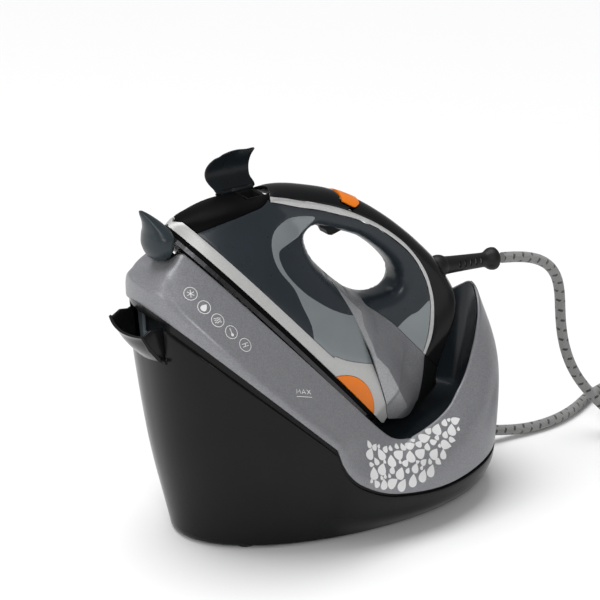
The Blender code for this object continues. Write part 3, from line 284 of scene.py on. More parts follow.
def offset_outline(points, distance, closed=True):
    """Moves an outline sideways: to the left of its direction for a positive distance."""
    p = np.array(points, float)
    if closed:
        ahead, behind = np.roll(p, -1, 0), np.roll(p, 1, 0)
    else:
        ahead = np.vstack([p[1:], p[-1:]])
        behind = np.vstack([p[:1], p[:-1]])
    run = ahead - behind
    run /= np.linalg.norm(run, axis=1, keepdims=True)
    normal = np.stack([-run[:, 1], run[:, 0]], 1)
    return [tuple(q) for q in p + distance * normal]


# ---- camera -------------------------------------------------------------------------------
CAMERA_AZIMUTH = math.radians(-31.0)
CAMERA_ELEVATION = math.radians(22.0)
CAMERA_DISTANCE = 1.728
CAMERA_TARGET = Vector((0.0, 0.0, 0.130))


def make_camera():
    lens = bpy.data.cameras.new("camera")
    lens.lens = 124.8
    lens.sensor_width = 36.0
    lens.shift_x = -0.0317
    lens.shift_y = 0.0933
    lens.clip_start = 0.05
    lens.clip_end = 30.0
    camera = bpy.data.objects.new("camera", lens)
    bpy.context.collection.objects.link(camera)
    az, el = CAMERA_AZIMUTH, CAMERA_ELEVATION
    back = Vector((math.sin(az) * math.cos(el), -math.cos(az) * math.cos(el), math.sin(el)))
    camera.location = CAMERA_TARGET + back * CAMERA_DISTANCE
    camera.rotation_euler = back.to_track_quat("Z", "Y").to_euler()
    bpy.context.scene.camera = camera


# ---- materials ----------------------------------------------------------------------------
class Shader:
    """A Principled material and short ways to add procedural nodes to it."""

    def __init__(self, name, colour, roughness, metallic=0.0):
        self.name = name
        self.made = bpy.data.materials.new("look_" + name)
        self.made.use_nodes = True
        self.nodes = self.made.node_tree.nodes
        self.links = self.made.node_tree.links
        self.bsdf = self.nodes["Principled BSDF"]
        self.bsdf.inputs["Base Color"].default_value = (*colour, 1.0)
        self.bsdf.inputs["Roughness"].default_value = roughness
        self.bsdf.inputs["Metallic"].default_value = metallic
        self.colour = colour
        self.roughness = roughness
        self.coords = self.nodes.new("ShaderNodeTexCoord")

    def set(self, **values):
        for key, value in values.items():
            self.bsdf.inputs[key.replace("_", " ")].default_value = value

    def noise(self, scale, detail=3.0):
        node = self.nodes.new("ShaderNodeTexNoise")
        node.inputs["Scale"].default_value = scale
        node.inputs["Detail"].default_value = detail
        self.links.new(self.coords.outputs["Object"], node.inputs["Vector"])
        return node.outputs["Fac"]

    def cells(self, scale):
        """Red and green of a cell pattern: two random values for each cell."""
        node = self.nodes.new("ShaderNodeTexVoronoi")
        node.inputs["Scale"].default_value = scale
        self.links.new(self.coords.outputs["Object"], node.inputs["Vector"])
        split = self.nodes.new("ShaderNodeSeparateColor")
        self.links.new(node.outputs["Color"], split.inputs["Color"])
        return split.outputs["Red"], split.outputs["Green"]

    def ramp(self, value, low, high, start=0.3, end=0.7):
        node = self.nodes.new("ShaderNodeValToRGB")
        for element, place, colour in zip(node.color_ramp.elements, (start, end), (low, high)):
            element.position = place
            element.color = (*colour, 1.0)
        self.links.new(value, node.inputs["Fac"])
        return node.outputs["Color"]

    def vary_colour(self, value, amount, start=0.3, end=0.7):
        low = [c * (1 - amount) for c in self.colour]
        high = [c * (1 + amount) for c in self.colour]
        self.links.new(self.ramp(value, low, high, start, end), self.bsdf.inputs["Base Color"])

    def vary_roughness(self, value, amount):
        node = self.nodes.new("ShaderNodeMapRange")
        node.inputs["From Min"].default_value = 0.3
        node.inputs["From Max"].default_value = 0.7
        node.inputs["To Min"].default_value = max(self.roughness - amount, 0.02)
        node.inputs["To Max"].default_value = self.roughness + amount
        self.links.new(value, node.inputs["Value"])
        self.links.new(node.outputs["Result"], self.bsdf.inputs["Roughness"])

    def bump(self, value, distance, strength):
        node = self.nodes.new("ShaderNodeBump")
        node.inputs["Distance"].default_value = distance
        node.inputs["Strength"].default_value = strength
        self.links.new(value, node.inputs["Height"])
        self.links.new(node.outputs["Normal"], self.bsdf.inputs["Normal"])


def moulded(name, colour, roughness, grain=900.0, relief=0.00002, gloss=0.5):
    """Moulded plastic: faint tone and gloss changes and a fine surface grain."""
    shader = Shader(name, colour, roughness)
    shader.vary_colour(shader.noise(22.0), 0.08)
    shader.vary_roughness(shader.noise(60.0, 4.0), 0.04)
    shader.bump(shader.noise(grain, 2.0), relief, 0.5)
    shader.set(Specular_IOR_Level=gloss)
    return shader


def lacquer(name, colour, roughness, flake=0.14, metallic=0.3, gloss=0.35):
    """Silver lacquer with fine metal flake."""
    shader = Shader(name, colour, roughness, metallic)
    tone, height = shader.cells(1500.0)
    shader.vary_colour(tone, flake, 0.0, 1.0)
    shader.bump(height, 0.00003, 0.3)
    shader.set(Specular_IOR_Level=gloss)
    return shader


def metal(name, colour, roughness):
    """Bare metal with fine tooling marks and uneven gloss."""
    shader = Shader(name, colour, roughness, 1.0)
    shader.vary_colour(shader.noise(40.0), 0.07)
    shader.vary_roughness(shader.noise(350.0, 4.0), 0.08)
    shader.bump(shader.noise(700.0, 2.0), 0.00002, 0.4)
    return shader


def braid_material():
    """Woven cover: a fine diagonal weave with short dark threads. The UVs are in millimetres."""
    shader = Shader("braid", (0.42, 0.42, 0.41), 0.8)
    nodes, links = shader.nodes, shader.links
    split = nodes.new("ShaderNodeSeparateXYZ")
    links.new(shader.coords.outputs["UV"], split.inputs["Vector"])

    def calc(kind, *values):
        node = nodes.new("ShaderNodeMath")
        node.operation = kind
        for socket, value in zip(node.inputs, values):
            if isinstance(value, float):
                socket.default_value = value
            else:
                links.new(value, socket)
        return node.outputs["Value"]

    def sweep(along, around):
        """Rises by along for each millimetre of cord, and by around for each turn about it."""
        return calc("ADD", calc("MULTIPLY", split.outputs["X"], along),
                    calc("MULTIPLY", split.outputs["Y"], around))

    def wave(along, around):
        return calc("SINE", calc("MULTIPLY", sweep(along, around), 2 * math.pi))

    def dashes(value, width):
        """1 where the value's fraction lies within width of a half."""
        return calc("LESS_THAN", calc("ABSOLUTE", calc("SUBTRACT", calc("FRACT", value), 0.5)), width)

    weave = calc("MULTIPLY", wave(0.62, 12.0), wave(0.62, -12.0))
    fleck = calc("MULTIPLY", dashes(sweep(1 / 9.5, 1.0), 0.12), dashes(sweep(1 / 12.5, -3.0), 0.3))
    mix = nodes.new("ShaderNodeMix")
    mix.data_type = "RGBA"
    links.new(fleck, mix.inputs["Factor"])
    links.new(shader.ramp(weave, (0.22, 0.22, 0.215), (0.42, 0.42, 0.41), 0.0, 0.9), mix.inputs[6])
    mix.inputs[7].default_value = (0.035, 0.035, 0.04, 1.0)
    links.new(mix.outputs[2], shader.bsdf.inputs["Base Color"])
    shader.bump(weave, 0.0003, 0.8)
    shader.set(Sheen_Weight=0.3, Sheen_Roughness=0.5)
    return shader


def make_materials():
    """Every look, by name."""
    looks = [
        moulded("shell_black", (0.0085, 0.0085, 0.009), 0.2, gloss=0.13),
        moulded("gloss_black", (0.0085, 0.0087, 0.0095), 0.18, 500.0, 0.00001, 0.17),
        moulded("satin_black", (0.008, 0.0085, 0.009), 0.42, gloss=0.08),
        moulded("nose_black", (0.003, 0.003, 0.0034), 0.45, gloss=0.03),
        moulded("slate", (0.0185, 0.025, 0.0315), 0.3, gloss=0.3),
        moulded("lever", (0.024, 0.033, 0.039), 0.3, gloss=0.3),
        moulded("flap", (0.009, 0.012, 0.0145), 0.28, gloss=0.22),
        moulded("liner", (0.0165, 0.0215, 0.026), 0.2, gloss=0.22),
        # petal looks: slate painted light grey as painted highlights for the body's facets, the second one
        # dimmer
        moulded("petal", (0.24, 0.265, 0.275), 0.18, 500.0, 0.00001, 0.45),
        moulded("petal_deep", (0.2, 0.222, 0.232), 0.2, 500.0, 0.00001, 0.45),
        moulded("orange", (0.9, 0.22, 0.012), 0.25, gloss=0.25),
        moulded("rubber", (0.0085, 0.0085, 0.0085), 0.5, 1600.0, 0.00008, 0.25),
        moulded("white_print", (0.72, 0.72, 0.72), 0.5),
        moulded("tank", (0.3, 0.35, 0.38), 0.2),
        moulded("white_plastic", (0.68, 0.68, 0.66), 0.4),
        moulded("board", (0.02, 0.13, 0.05), 0.35),
        moulded("silicone", (0.06, 0.06, 0.065), 0.6, gloss=0.3),
        lacquer("silver", (0.245, 0.247, 0.262), 0.36, gloss=0.15),
        # silver painted lighter: a painted highlight for the lit facet of the fairing
        lacquer("silver_painted_highlight", (0.36, 0.363, 0.375), 0.32, gloss=0.35),
        lacquer("bright_silver", (0.5, 0.5, 0.5), 0.3, 0.08),
        lacquer("light_grey", (0.5, 0.5, 0.495), 0.34, 0.05, 0.1),
        metal("steel", (0.52, 0.52, 0.53), 0.28),
        metal("dark_steel", (0.05, 0.05, 0.053), 0.3),
        metal("aluminium", (0.62, 0.62, 0.64), 0.32),
        metal("brass", (0.6, 0.42, 0.16), 0.3),
        braid_material()]
    return {look.name: look.made for look in looks}


# the looks of the CAD nodes that stay: by the node's name, or else by its slot in the record
NODE_LOOKS = {"soleplate": "dark_steel", "door_pin": "satin_black", "flap_pin": "satin_black",
              "heat_shield": "nose_black", "steam_trigger": "satin_black"}
SLOT_LOOKS = {"satin_silver": "silver", "clear_plastic": "tank", "green_board": "board"}


def dress_cad_nodes():
    """Procedural materials on every node of the frame, in the material slots it came with."""
    for name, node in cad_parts.items():
        for held in node.material_slots:
            slot = held.material.name.split(".")[0]
            held.link = "OBJECT"
            held.material = MATERIALS[NODE_LOOKS.get(name) or SLOT_LOOKS.get(slot, slot)]


# ---- mesh tools ---------------------------------------------------------------------------
WORLD = Matrix.Identity(4)
IRON = Matrix.Translation(Vector(TOE)) @ Matrix.Rotation(TILT, 4, "Y")
FACE = (IRON @ Matrix.Translation(Vector((FACE_START[0], 0, FACE_START[1])))
        @ Matrix.Rotation(-FACE_ANGLE, 4, "Y"))


def add_object(name, made, look=None):
    """Turns a bmesh into an object."""
    mesh = bpy.data.meshes.new(name)
    made.to_mesh(mesh)
    made.free()
    piece = bpy.data.objects.new(name, mesh)
    bpy.context.collection.objects.link(piece)
    if look is not None:
        mesh.materials.append(MATERIALS[look])
    return piece


def hand_over(piece, body, slot, *nodes):
    """Rides a piece on a body and hides the CAD nodes it stands for; slot is not used."""
    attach(piece, body)
    if nodes:
        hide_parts(*nodes)
    return piece


def add_bevel(piece, width, segments=3, angle=35, harden=True):
    step = piece.modifiers.new("bevel", "BEVEL")
    step.width = width * MM
    step.segments = segments
    step.limit_method = "ANGLE"
    step.angle_limit = math.radians(angle)
    step.harden_normals = harden


def finish_mesh(name, made, look, place=WORLD, smooth_angle=35.0, bevel=0.0):
    """Turns a bmesh in millimetres into a piece in metres, in the frame's axes."""
    bmesh.ops.transform(made, matrix=Matrix.Scale(MM, 4) @ place, verts=made.verts)
    bmesh.ops.recalc_face_normals(made, faces=made.faces)
    piece = add_object(name, made, look)
    piece.data.shade_smooth()
    piece.data.set_sharp_from_angle(angle=math.radians(smooth_angle))
    if bevel:
        add_bevel(piece, bevel)
    return piece


def ring_bmesh(rings, closed=False, mirrored=False):
    """Skin over rings of points; its ends are filled, in strips across if the rings are mirrored."""
    made = bmesh.new()
    rows = [[made.verts.new(Vector(point)) for point in ring] for ring in rings]
    count = len(rows[0])
    pairs = list(zip(rows[:-1], rows[1:]))
    if closed:
        pairs.append((rows[-1], rows[0]))
    for lower, upper in pairs:
        for i in range(count):
            j = (i + 1) % count
            made.faces.new((lower[i], lower[j], upper[j], upper[i]))
    if closed:
        return made
    for row, flip in ((rows[0], -1), (rows[-1], 1)):
        if not mirrored:
            made.faces.new(row[::flip])
            continue
        for i in range(count // 2):
            strip = [row[i], row[i + 1], row[-i - 1], row[-i]]
            strip = [vert for k, vert in enumerate(strip) if vert not in strip[:k]]
            made.faces.new(strip[::flip])
    return made


def turned(name, start, direction, profile, look, sides):
    """Round piece about a line; profile lists (distance along it, radius)."""
    start, along = Vector(start), Vector(direction).normalized()
    side = along.orthogonal().normalized()
    other = along.cross(side)
    rings = []
    for distance, r in profile:
        distance, r = float(distance), float(r)
        rings.append([start + along * distance + r * (math.cos(a) * side + math.sin(a) * other)
                      for a in np.linspace(0, 2 * math.pi, sides, endpoint=False)])
    return finish_mesh(name, ring_bmesh(rings), look)


def slab(name, outline, low, high, place=WORLD):
    """Cutter with an outline in (x, y) of its place, from low to high."""
    made = ring_bmesh([[(a, b, depth) for a, b in outline] for depth in (low, high)])
    return finish_mesh(name, made, None, place)


def keep_result(piece):
    """Applies a piece's modifiers."""
    graph = bpy.context.evaluated_depsgraph_get()
    mesh = bpy.data.meshes.new_from_object(piece.evaluated_get(graph))
    old = piece.data
    piece.modifiers.clear()
    piece.data = mesh
    bpy.data.meshes.remove(old)
    mesh.name = piece.name
    mesh.shade_smooth()
    mesh.set_sharp_from_angle(angle=math.radians(35))


def add_boolean(piece, tool, operation="DIFFERENCE"):
    step = piece.modifiers.new("cut", "BOOLEAN")
    step.operation = operation
    step.solver = "EXACT"
    step.object = tool


def cut(piece, tool):
    """Takes a cutter out of a piece and removes the cutter."""
    add_boolean(piece, tool)
    keep_result(piece)
    bpy.data.objects.remove(tool, do_unlink=True)


def join(piece, *others):
    """Makes several meshes one piece, with the first one's name and look."""
    made = bmesh.new()
    for part in (piece, *others):
        made.from_mesh(part.data)
    made.to_mesh(piece.data)
    made.free()
    for part in others:
        bpy.data.objects.remove(part, do_unlink=True)
    piece.data.set_sharp_from_angle(angle=math.radians(35))


# ---- steam cord ---------------------------------------------------------------------------
COIL_START = -0.045
COIL_TURNS = 3.5
COIL_RISE = (366, 56, 9.5)
CORD_SIDES = 20


def lengths(points):
    """Distance of each point of a line from its start, along the line."""
    return np.concatenate([[0], np.cumsum(np.linalg.norm(np.diff(points, axis=0), axis=1))])


def resampled(points, spacing):
    at = lengths(points)
    steps = np.linspace(0, at[-1], int(round(at[-1] / spacing)) + 1)
    return np.stack([np.interp(steps, at, points[:, k]) for k in range(3)], 1)


def coil_path():
    """Three and a half turns, wound two wide and two high, between the two straight runs."""
    inner, outer, low, high = 47.3, 56.8, 4.9, 14.4
    turns = np.linspace(COIL_START, COIL_TURNS, 190)
    radius = curve_through([(COIL_START, 73.0), (0.13, outer), (0.78, outer), (1.0, inner), (2.28, inner),
                            (2.5, outer), (3.18, outer), (COIL_TURNS, 68.5)], turns)
    height = curve_through([(COIL_START, 5.2), (0.1, low), (1.52, low), (1.74, high), (3.42, high),
                            (COIL_TURNS, 12.4)], turns)
    angle = 2 * math.pi * turns - math.pi / 2
    return np.stack([COIL_CENTRE[0] + radius * np.cos(angle), COIL_CENTRE[1] + radius * np.sin(angle),
                     height], 1)


def cord_path():
    """The cord's middle line: down from the boot, round the coil and back to the base."""
    down = np.array(rounded(TUBE_TO_COIL, closed=False, steps=16))
    back = np.array(rounded([COIL_RISE, *TUBE_TO_BASE], closed=False, steps=16))
    route = resampled(np.vstack([down, coil_path()[2:], back[6:]]), 4.0)
    for _ in range(12):
        route[1:-1] = 0.25 * route[:-2] + 0.5 * route[1:-1] + 0.25 * route[2:]
    return resampled(route, 3.0)


def cord_bmesh(path):
    """Round tube along a path, with its UVs along and around it."""
    tangent = np.gradient(path, axis=0)
    tangent /= np.linalg.norm(tangent, axis=1, keepdims=True)
    side = Vector((0, 1, 0))
    made = bmesh.new()
    uv_layer = made.loops.layers.uv.new("UVMap")
    rows = []
    for point, along in zip(path, tangent):
        along = Vector(along)
        side = (side - along * side.dot(along)).normalized()
        other = along.cross(side)
        rows.append([made.verts.new(Vector(point)
                                    + CORD_RADIUS * (math.cos(a) * side + math.sin(a) * other))
                     for a in np.linspace(0, 2 * math.pi, CORD_SIDES, endpoint=False)])
    at = lengths(path)
    for k in range(len(rows) - 1):
        for i in range(CORD_SIDES):
            j = (i + 1) % CORD_SIDES
            face = made.faces.new((rows[k][i], rows[k][j], rows[k + 1][j], rows[k + 1][i]))
            corners = [(at[k], i), (at[k], i + 1), (at[k + 1], i + 1), (at[k + 1], i)]
            for loop, (u, v) in zip(face.loops, corners):
                loop[uv_layer].uv = (u, v / CORD_SIDES)
    made.faces.new(rows[0][::-1])
    made.faces.new(rows[-1])
    return made


def make_cord():
    path = cord_path()
    cord = finish_mesh("steam_cord", cord_bmesh(path), "braid")
    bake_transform(cord)
    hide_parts("steam_cord_upper", "steam_cord_coil", "steam_cord_lower")


# ---- base ---------------------------------------------------------------------------------
AROUND = np.linspace(0, 2 * math.pi, 240, endpoint=False)
BAND_DEPTH = 2.2
DOOR_ROOM = [(-185, -31), (-140, -31), (-140, 31), (-185, 31)]


def base_ring(level, inset, lift=0.0):
    ring = base_point(AROUND, level) - inset * base_normal(AROUND, level)
    ring[:, 2] += lift
    return ring


def make_base_shell():
    """Black shell with a thin recess under the silver cover and room for the filler door."""
    outer = [base_ring(0.0, 1.6), base_ring(0.0, 0.5, 0.15), base_ring(0.006, 0.0)]
    outer += [base_ring(level, 0.0) for level in np.linspace(0.03, 0.93, 22)]
    outer += [base_ring(0.938, 0.12), base_ring(0.942, 0.5)]
    band = [base_ring(level, BAND_DEPTH) for level in (0.946, 0.97, 0.994)]
    inner = [base_ring(level, BAND_DEPTH + SHELL_WALL) for level in (0.99, 0.9)]
    inner += [base_ring(level, SHELL_WALL) for level in (0.84, 0.7, 0.5, 0.3, 0.12, 0.0)]
    shell = finish_mesh("shell_body", ring_bmesh(outer + band + inner, closed=True), "shell_black")
    hinge_z = DOOR_HINGE[1]
    cut(shell, slab("door_room", DOOR_ROOM, hinge_z - 3.4, hinge_z + 31))
    hand_over(shell, "base", None, "base_shell")


def make_upper_cover():
    outer = [base_ring(1.004, 1.2), base_ring(1.006, 0.35), base_ring(1.012, 0.0)]
    outer += [base_ring(level, 0.0) for level in np.linspace(1.03, 1.965, 30)]
    lip = [base_ring(1.985, 0.25), base_ring(2.0, 0.9), base_ring(2.0, COVER_WALL)]
    inner = [base_ring(level, COVER_WALL + 0.3) for level in (1.96, 1.9, 1.8, 1.6, 1.4, 1.2, 1.006)]
    made = ring_bmesh(outer + lip + inner, closed=True)
    cover = finish_mesh("cover_skin", made, "silver", smooth_angle=50)
    return hand_over(cover, "base", None, "upper_cover")


def cradle_ring(share, drop):
    """A ring of the cradle between its middle line (share 0) and the rim (share 1)."""
    rim = base_point(AROUND, 2.0) - (COVER_WALL + GAP + 0.4) * base_normal(AROUND, 2.0)
    spine_x = np.clip(rim[:, 0], -118, 96)
    spine = np.stack([spine_x, 0 * spine_x, deck_z(spine_x)], -1)
    ring = spine + share * (rim - spine)
    wall = np.clip((share - 0.72) / 0.28, 0, 1) ** 1.6
    height = deck_z(ring[:, 0]) + (rim[:, 2] - deck_z(rim[:, 0])) * wall
    heel = np.clip((ring[:, 0] - 70) / 60, 0, 1)
    ring[:, 2] = height + heel * 10 * (1 - wall) - drop
    return ring


def make_cradle():
    top = [cradle_ring(share, 0.6) for share in (0.06, 0.25, 0.45, 0.6, *np.linspace(0.7, 0.995, 22))]
    top += [cradle_ring(1.0, 0.8)]
    under = [cradle_ring(share, LINER_WALL + 0.6) for share in (0.985, 0.94, 0.86, 0.78, 0.68, 0.4, 0.06)]
    made = ring_bmesh(top + under, mirrored=True)
    hand_over(finish_mesh("cradle_skin", made, "liner", smooth_angle=60), "base", None, "cradle_liner")


# ---- panels on the iron's form -------------------------------------------------------------
# A panel's outline lies in the iron's side view (s, w). It is meshed in a flat domain of s and the
# section's t, where t is stretched to DOMAIN so that the triangles come out about even.
DOMAIN = 120.0
HOLE = rounded(HOLE_LINE)
HOLE_ROUND = 12.0
HOLE_WAIST = 0.42
HOLE_LOOPS = (0.3, 0.9, 1.9, 3.3, 5.2, 7.6, 10.4)


def section(s, t, grow=0.0):
    """Half-width and height of the iron's form at s; t runs from its bottom (0) to its top (1)."""
    s = np.asarray(s, float)
    top = curve_through(TOP_LINE, s) + grow
    low = curve_through(HEEL_LINE, s)
    bar = np.maximum(curve_through(BAR_HALF, s) + grow, 0.5)
    foot = np.where(s < 240, sole_half(s) + 1.0, curve_through(HEEL_HALF, s)) + grow
    foot = np.maximum(foot, np.maximum(bar * 0.9, 0.6))
    top = np.maximum(top, low + 0.6)
    crown = np.minimum(BAR_ROUND, 0.55 * (top - low))
    share = 0.5 - 0.5 * np.cos(math.pi * t)
    w = low + (top - low) * share ** 0.9
    waist = np.clip((w + 5) / WAIST_HEIGHT, 0, 1)
    half = bar + (foot - bar) * (1 - waist ** 2) ** 1.15
    over = np.clip((w - (top - crown)) / crown, 0, 1)
    return half * np.sqrt(np.clip(1 - over ** 2.3, 0, 1)), w


def level_of(s, w):
    """The t at which the section at s has height w."""
    low = curve_through(HEEL_LINE, s)
    top = np.maximum(curve_through(TOP_LINE, s), low + 0.6)
    share = np.clip((w - low) / (top - low), 0, 1) ** (1 / 0.9)
    return np.arccos(1 - 2 * share) / math.pi


def to_domain(points):
    return np.stack([points[:, 0], DOMAIN * level_of(points[:, 0], points[:, 1])], 1)


def distance_to(points, outline, closed=True):
    """Distance from each point to a polyline."""
    ends = np.roll(outline, -1, 0) if closed else outline[1:]
    starts = outline if closed else outline[:-1]
    best = np.full(len(points), 1e9)
    for a, b in zip(starts, ends):
        d = b - a
        f = np.clip(((points - a) @ d) / max(d @ d, 1e-12), 0, 1)
        best = np.minimum(best, np.linalg.norm(points - a - f[:, None] * d, axis=1))
    return best


def inside(points, outline):
    """Whether each point lies inside a closed outline."""
    x, y = points[:, 0], points[:, 1]
    hit = np.zeros(len(points), bool)
    for (x0, y0), (x1, y1) in zip(outline, np.roll(outline, -1, 0)):
        crosses = (y0 > y) != (y1 > y)
        hit ^= crosses & (x < (x1 - x0) * (y - y0) / (y1 - y0 + 1e-12) + x0)
    return hit


def dense(outline, spacing):
    """A closed outline in (s, w) with points every few millimetres, held on the iron's side view."""
    points = np.array(outline, float)
    made = [points[0]]
    for a, b in zip(points, np.roll(points, -1, 0)):
        count = max(int(np.linalg.norm(b - a) / spacing), 1)
        made += [a + (b - a) * k / count for k in range(1, count + 1)]
    made = np.array(made[:-1])
    made[:, 0] = np.clip(made[:, 0], 0.3, 289.6)
    low, high = curve_through(HEEL_LINE, made[:, 0]), curve_through(TOP_LINE, made[:, 0])
    made[:, 1] = np.clip(made[:, 1], low, high)
    keep = np.linalg.norm(made - np.roll(made, 1, 0), axis=1) > 0.05
    return made[keep]


def clip_polygon(subject, cutter_line, keep_outside=True):
    """An outline minus another one (or its part within it), by a boolean of two thin plates."""
    plates = []
    for points, low, high in ((subject, 0.0, 1.0), (cutter_line, -1.0, 2.0)):
        made = ring_bmesh([[(x, y, z) for x, y in points] for z in (low, high)])
        bmesh.ops.recalc_face_normals(made, faces=made.faces)
        plates.append(add_object("plate", made))
    add_boolean(*plates, "DIFFERENCE" if keep_outside else "INTERSECT")
    graph = bpy.context.evaluated_depsgraph_get()
    made = bmesh.new()
    made.from_mesh(plates[0].evaluated_get(graph).to_mesh())
    bmesh.ops.remove_doubles(made, verts=made.verts, dist=1e-4)
    top = [f for f in made.faces if all(abs(v.co.z - 1.0) < 1e-4 for v in f.verts)]
    bmesh.ops.delete(made, geom=[f for f in made.faces if f not in top], context="FACES")
    bmesh.ops.dissolve_faces(made, faces=made.faces[:])
    face = max(made.faces, key=lambda f: f.calc_area())
    result = [(v.co.x, v.co.y) for v in face.verts]
    made.free()
    for plate in plates:
        bpy.data.objects.remove(plate, do_unlink=True)
    return result


def triangulated(border, spacing, grip):
    """Points and triangles over a panel's flat domain; grip adds loops about the finger opening."""
    grid_s = np.arange(1.0, 289.5, spacing)
    grid_t = np.linspace(0.012, 0.996, 54) * DOMAIN
    clouds = [np.array([(s, t) for s in grid_s for t in grid_t])]
    if grip:
        clouds += [to_domain(dense(offset_outline(HOLE, -away), spacing)) for away in HOLE_LOOPS]
    cloud = np.vstack(clouds)
    cloud = cloud[inside(cloud, border) & (distance_to(cloud, border) > 0.45 * spacing)]
    count = len(border)
    edges = [(i, (i + 1) % count) for i in range(count)]
    out, _, faces, _, _, _ = delaunay_2d_cdt([Vector(p) for p in (*border, *cloud)], edges, [], 0, 1e-5)
    flat = np.array([tuple(p) for p in out])
    keep = inside(np.array([flat[list(face)].mean(0) for face in faces]), border)
    return flat, [face for face, good in zip(faces, keep) if good]


def fold_rim(made, lip, grip):
    """Folds a near-side panel's rim inwards by lip, and across to the middle at the opening."""
    def place(vert):
        return tuple(round(c, 5) for c in vert.co)

    rim = [e for e in made.edges
           if len(e.link_faces) == 1 and not all(abs(v.co.y) < 1e-4 for v in e.verts)]
    normals = {place(v): v.normal.copy() for e in rim for v in e.verts}
    sharp = set(normals)
    result = bmesh.ops.extrude_edge_only(made, edges=rim)
    for vert in [v for v in result["geom"] if isinstance(v, bmesh.types.BMVert)]:
        key = place(vert)
        if grip and distance_to(np.array([(vert.co.x, vert.co.z)]), np.array(HOLE))[0] < 0.12:
            vert.co.y = 0.0
            sharp.discard(key)
        else:
            vert.co -= normals[key] * lip
    for edge in rim:
        if edge.is_valid and all(place(v) in sharp for v in edge.verts):
            edge.smooth = False


def mirror_panel(made, keep_near):
    """Puts a near-side panel on the far side, as well if keep_near, joined along the middle."""
    verts, faces = made.verts[:], made.faces[:]
    if keep_near:
        geom = bmesh.ops.duplicate(made, geom=verts + made.edges[:] + faces)["geom"]
        verts = [v for v in geom if isinstance(v, bmesh.types.BMVert)]
        faces = [f for f in geom if isinstance(f, bmesh.types.BMFace)]
    for vert in verts:
        vert.co.y = -vert.co.y
    bmesh.ops.reverse_faces(made, faces=faces)
    if keep_near:
        middle = [v for v in made.verts if abs(v.co.y) < 1e-3]
        bmesh.ops.remove_doubles(made, verts=middle, dist=1e-3)


def panel(name, outline, look, grow=0.0, spacing=2.6, lip=1.8, side=0, relief=None, grip=True):
    """A casing piece over part of the iron's form; side -1 or 1 for one side only, 0 for both."""
    border = to_domain(dense(outline, spacing))
    flat, faces = triangulated(border, spacing, grip)
    s, t = flat[:, 0], flat[:, 1] / DOMAIN
    half, w = section(s, np.clip(t, 0, 1), grow)
    if grip:
        away = np.clip(distance_to(np.stack([s, w], 1), np.array(HOLE)) / HOLE_ROUND, 0, 1)
        half = half * (HOLE_WAIST + (1 - HOLE_WAIST) * np.sqrt(1 - (1 - away) ** 2))
    edge_round = 0.35 * np.clip(1 - distance_to(flat, border) / 1.4, 0, 1) ** 2
    half = half - np.where(t < 0.97, edge_round, 0)
    if relief is not None:
        half = half + relief(s, w)
    made = bmesh.new()
    rows = [made.verts.new((a, -max(b, 0.0), c)) for a, b, c in zip(s, half, w)]
    for face in faces:
        made.faces.new([rows[i] for i in face])
    bmesh.ops.delete(made, geom=[v for v in made.verts if not v.link_faces], context="VERTS")
    made.normal_update()
    if sum(f.normal.y for f in made.faces) > 0:
        bmesh.ops.reverse_faces(made, faces=made.faces)
    made.normal_update()
    fold_rim(made, lip, grip)
    if side >= 0:
        mirror_panel(made, keep_near=side == 0)
    bmesh.ops.transform(made, matrix=Matrix.Scale(MM, 4) @ IRON, verts=made.verts)
    piece = add_object(name, made, look)
    piece.data.polygons.foreach_set("use_smooth", [True] * len(piece.data.polygons))
    return piece


# ---- casing of the iron ---------------------------------------------------------------------
# Corners that lie beyond the side view only close an outline; dense() brings them to its edge.
HALF_GAP = GAP / 2
SHROUD_RIM = rounded(SHROUD_TOP, closed=False)
COVER_RIM = rounded(COVER_LINE, closed=False)
TRIM_RIM = rounded(TRIM_LINE, closed=False)
NOSE_RIM = rounded(NOSE_LINE, closed=False)
FAIRING = (rounded(PANEL_FRONT, closed=False)
           + [(251, 2), (256, 1), (277, 1), (277, 33), (269, 51), (262, 66)]
           + rounded(PANEL_TOP, closed=False)[1:])
RIDGE = [(176, 52), (181, 44), (201, 31), (219, 31), (239, 25), (261, 20)]
RIDGE_HEIGHT = 6.0
LENS_CENTRE = (205.0, -28.6)
LENS_RADIUS = 36.6
POCKET_S = (33.4, 47.5)
BUTTON_ROOM = [(96.5, 130), (97.0, 111.5), (101.5, 104.3), (115.5, 108.8), (119.0, 114.8), (119.5, 130)]
BUTTON = [(97.4, 130), (97.9, 112.0), (101.9, 105.6), (114.8, 109.8), (118.1, 115.2), (118.6, 130)]
# painted highlights: facets of the body painted lighter than the slate, one about the front of the opening
# and below it, one behind it
HIGHLIGHT_PETALS = [
    ([(84.8, 77.6), (73.6, 67.4), (64.0, 52.0), (63.7, 40.9), (71.5, 31.2), (83.1, 26.0), (100.0, 24.0),
      (114, 18), (130, 11.5), (144, 2), (175, -2), (215, 18), (208, 34), (172, 52), (168.5, 44.2),
      (145.8, 34.8), (125.6, 29.8), (108.3, 27.4), (90.1, 28.2), (78.6, 32.6), (74.4, 38.4), (79.0, 47.2),
      (90.3, 64.8), (91.4, 79.9)], "petal_deep"),
    ([(233.5, 103.8), (247.5, 99.7), (258, 82), (260, 60), (228.4, 60), (226.7, 78.6), (231.0, 88.8)],
     "petal")]


def casing(name, outline, look, slot, *nodes, body="iron", **shape):
    """A panel that rides on a body and stands for CAD nodes."""
    hand_over(panel(name, outline, look, **shape), body, slot, *nodes)


def on_both_sides(name, outline, look, slot, node, **shape):
    for side, place, hand in ((-1, "near", "right"), (1, "far", "left")):
        casing(f"{name}_{place}", outline, look, slot, f"{node}_{hand}", side=side, grip=False, **shape)


def offset_line(line, distance):
    return offset_outline(line, distance, closed=False)


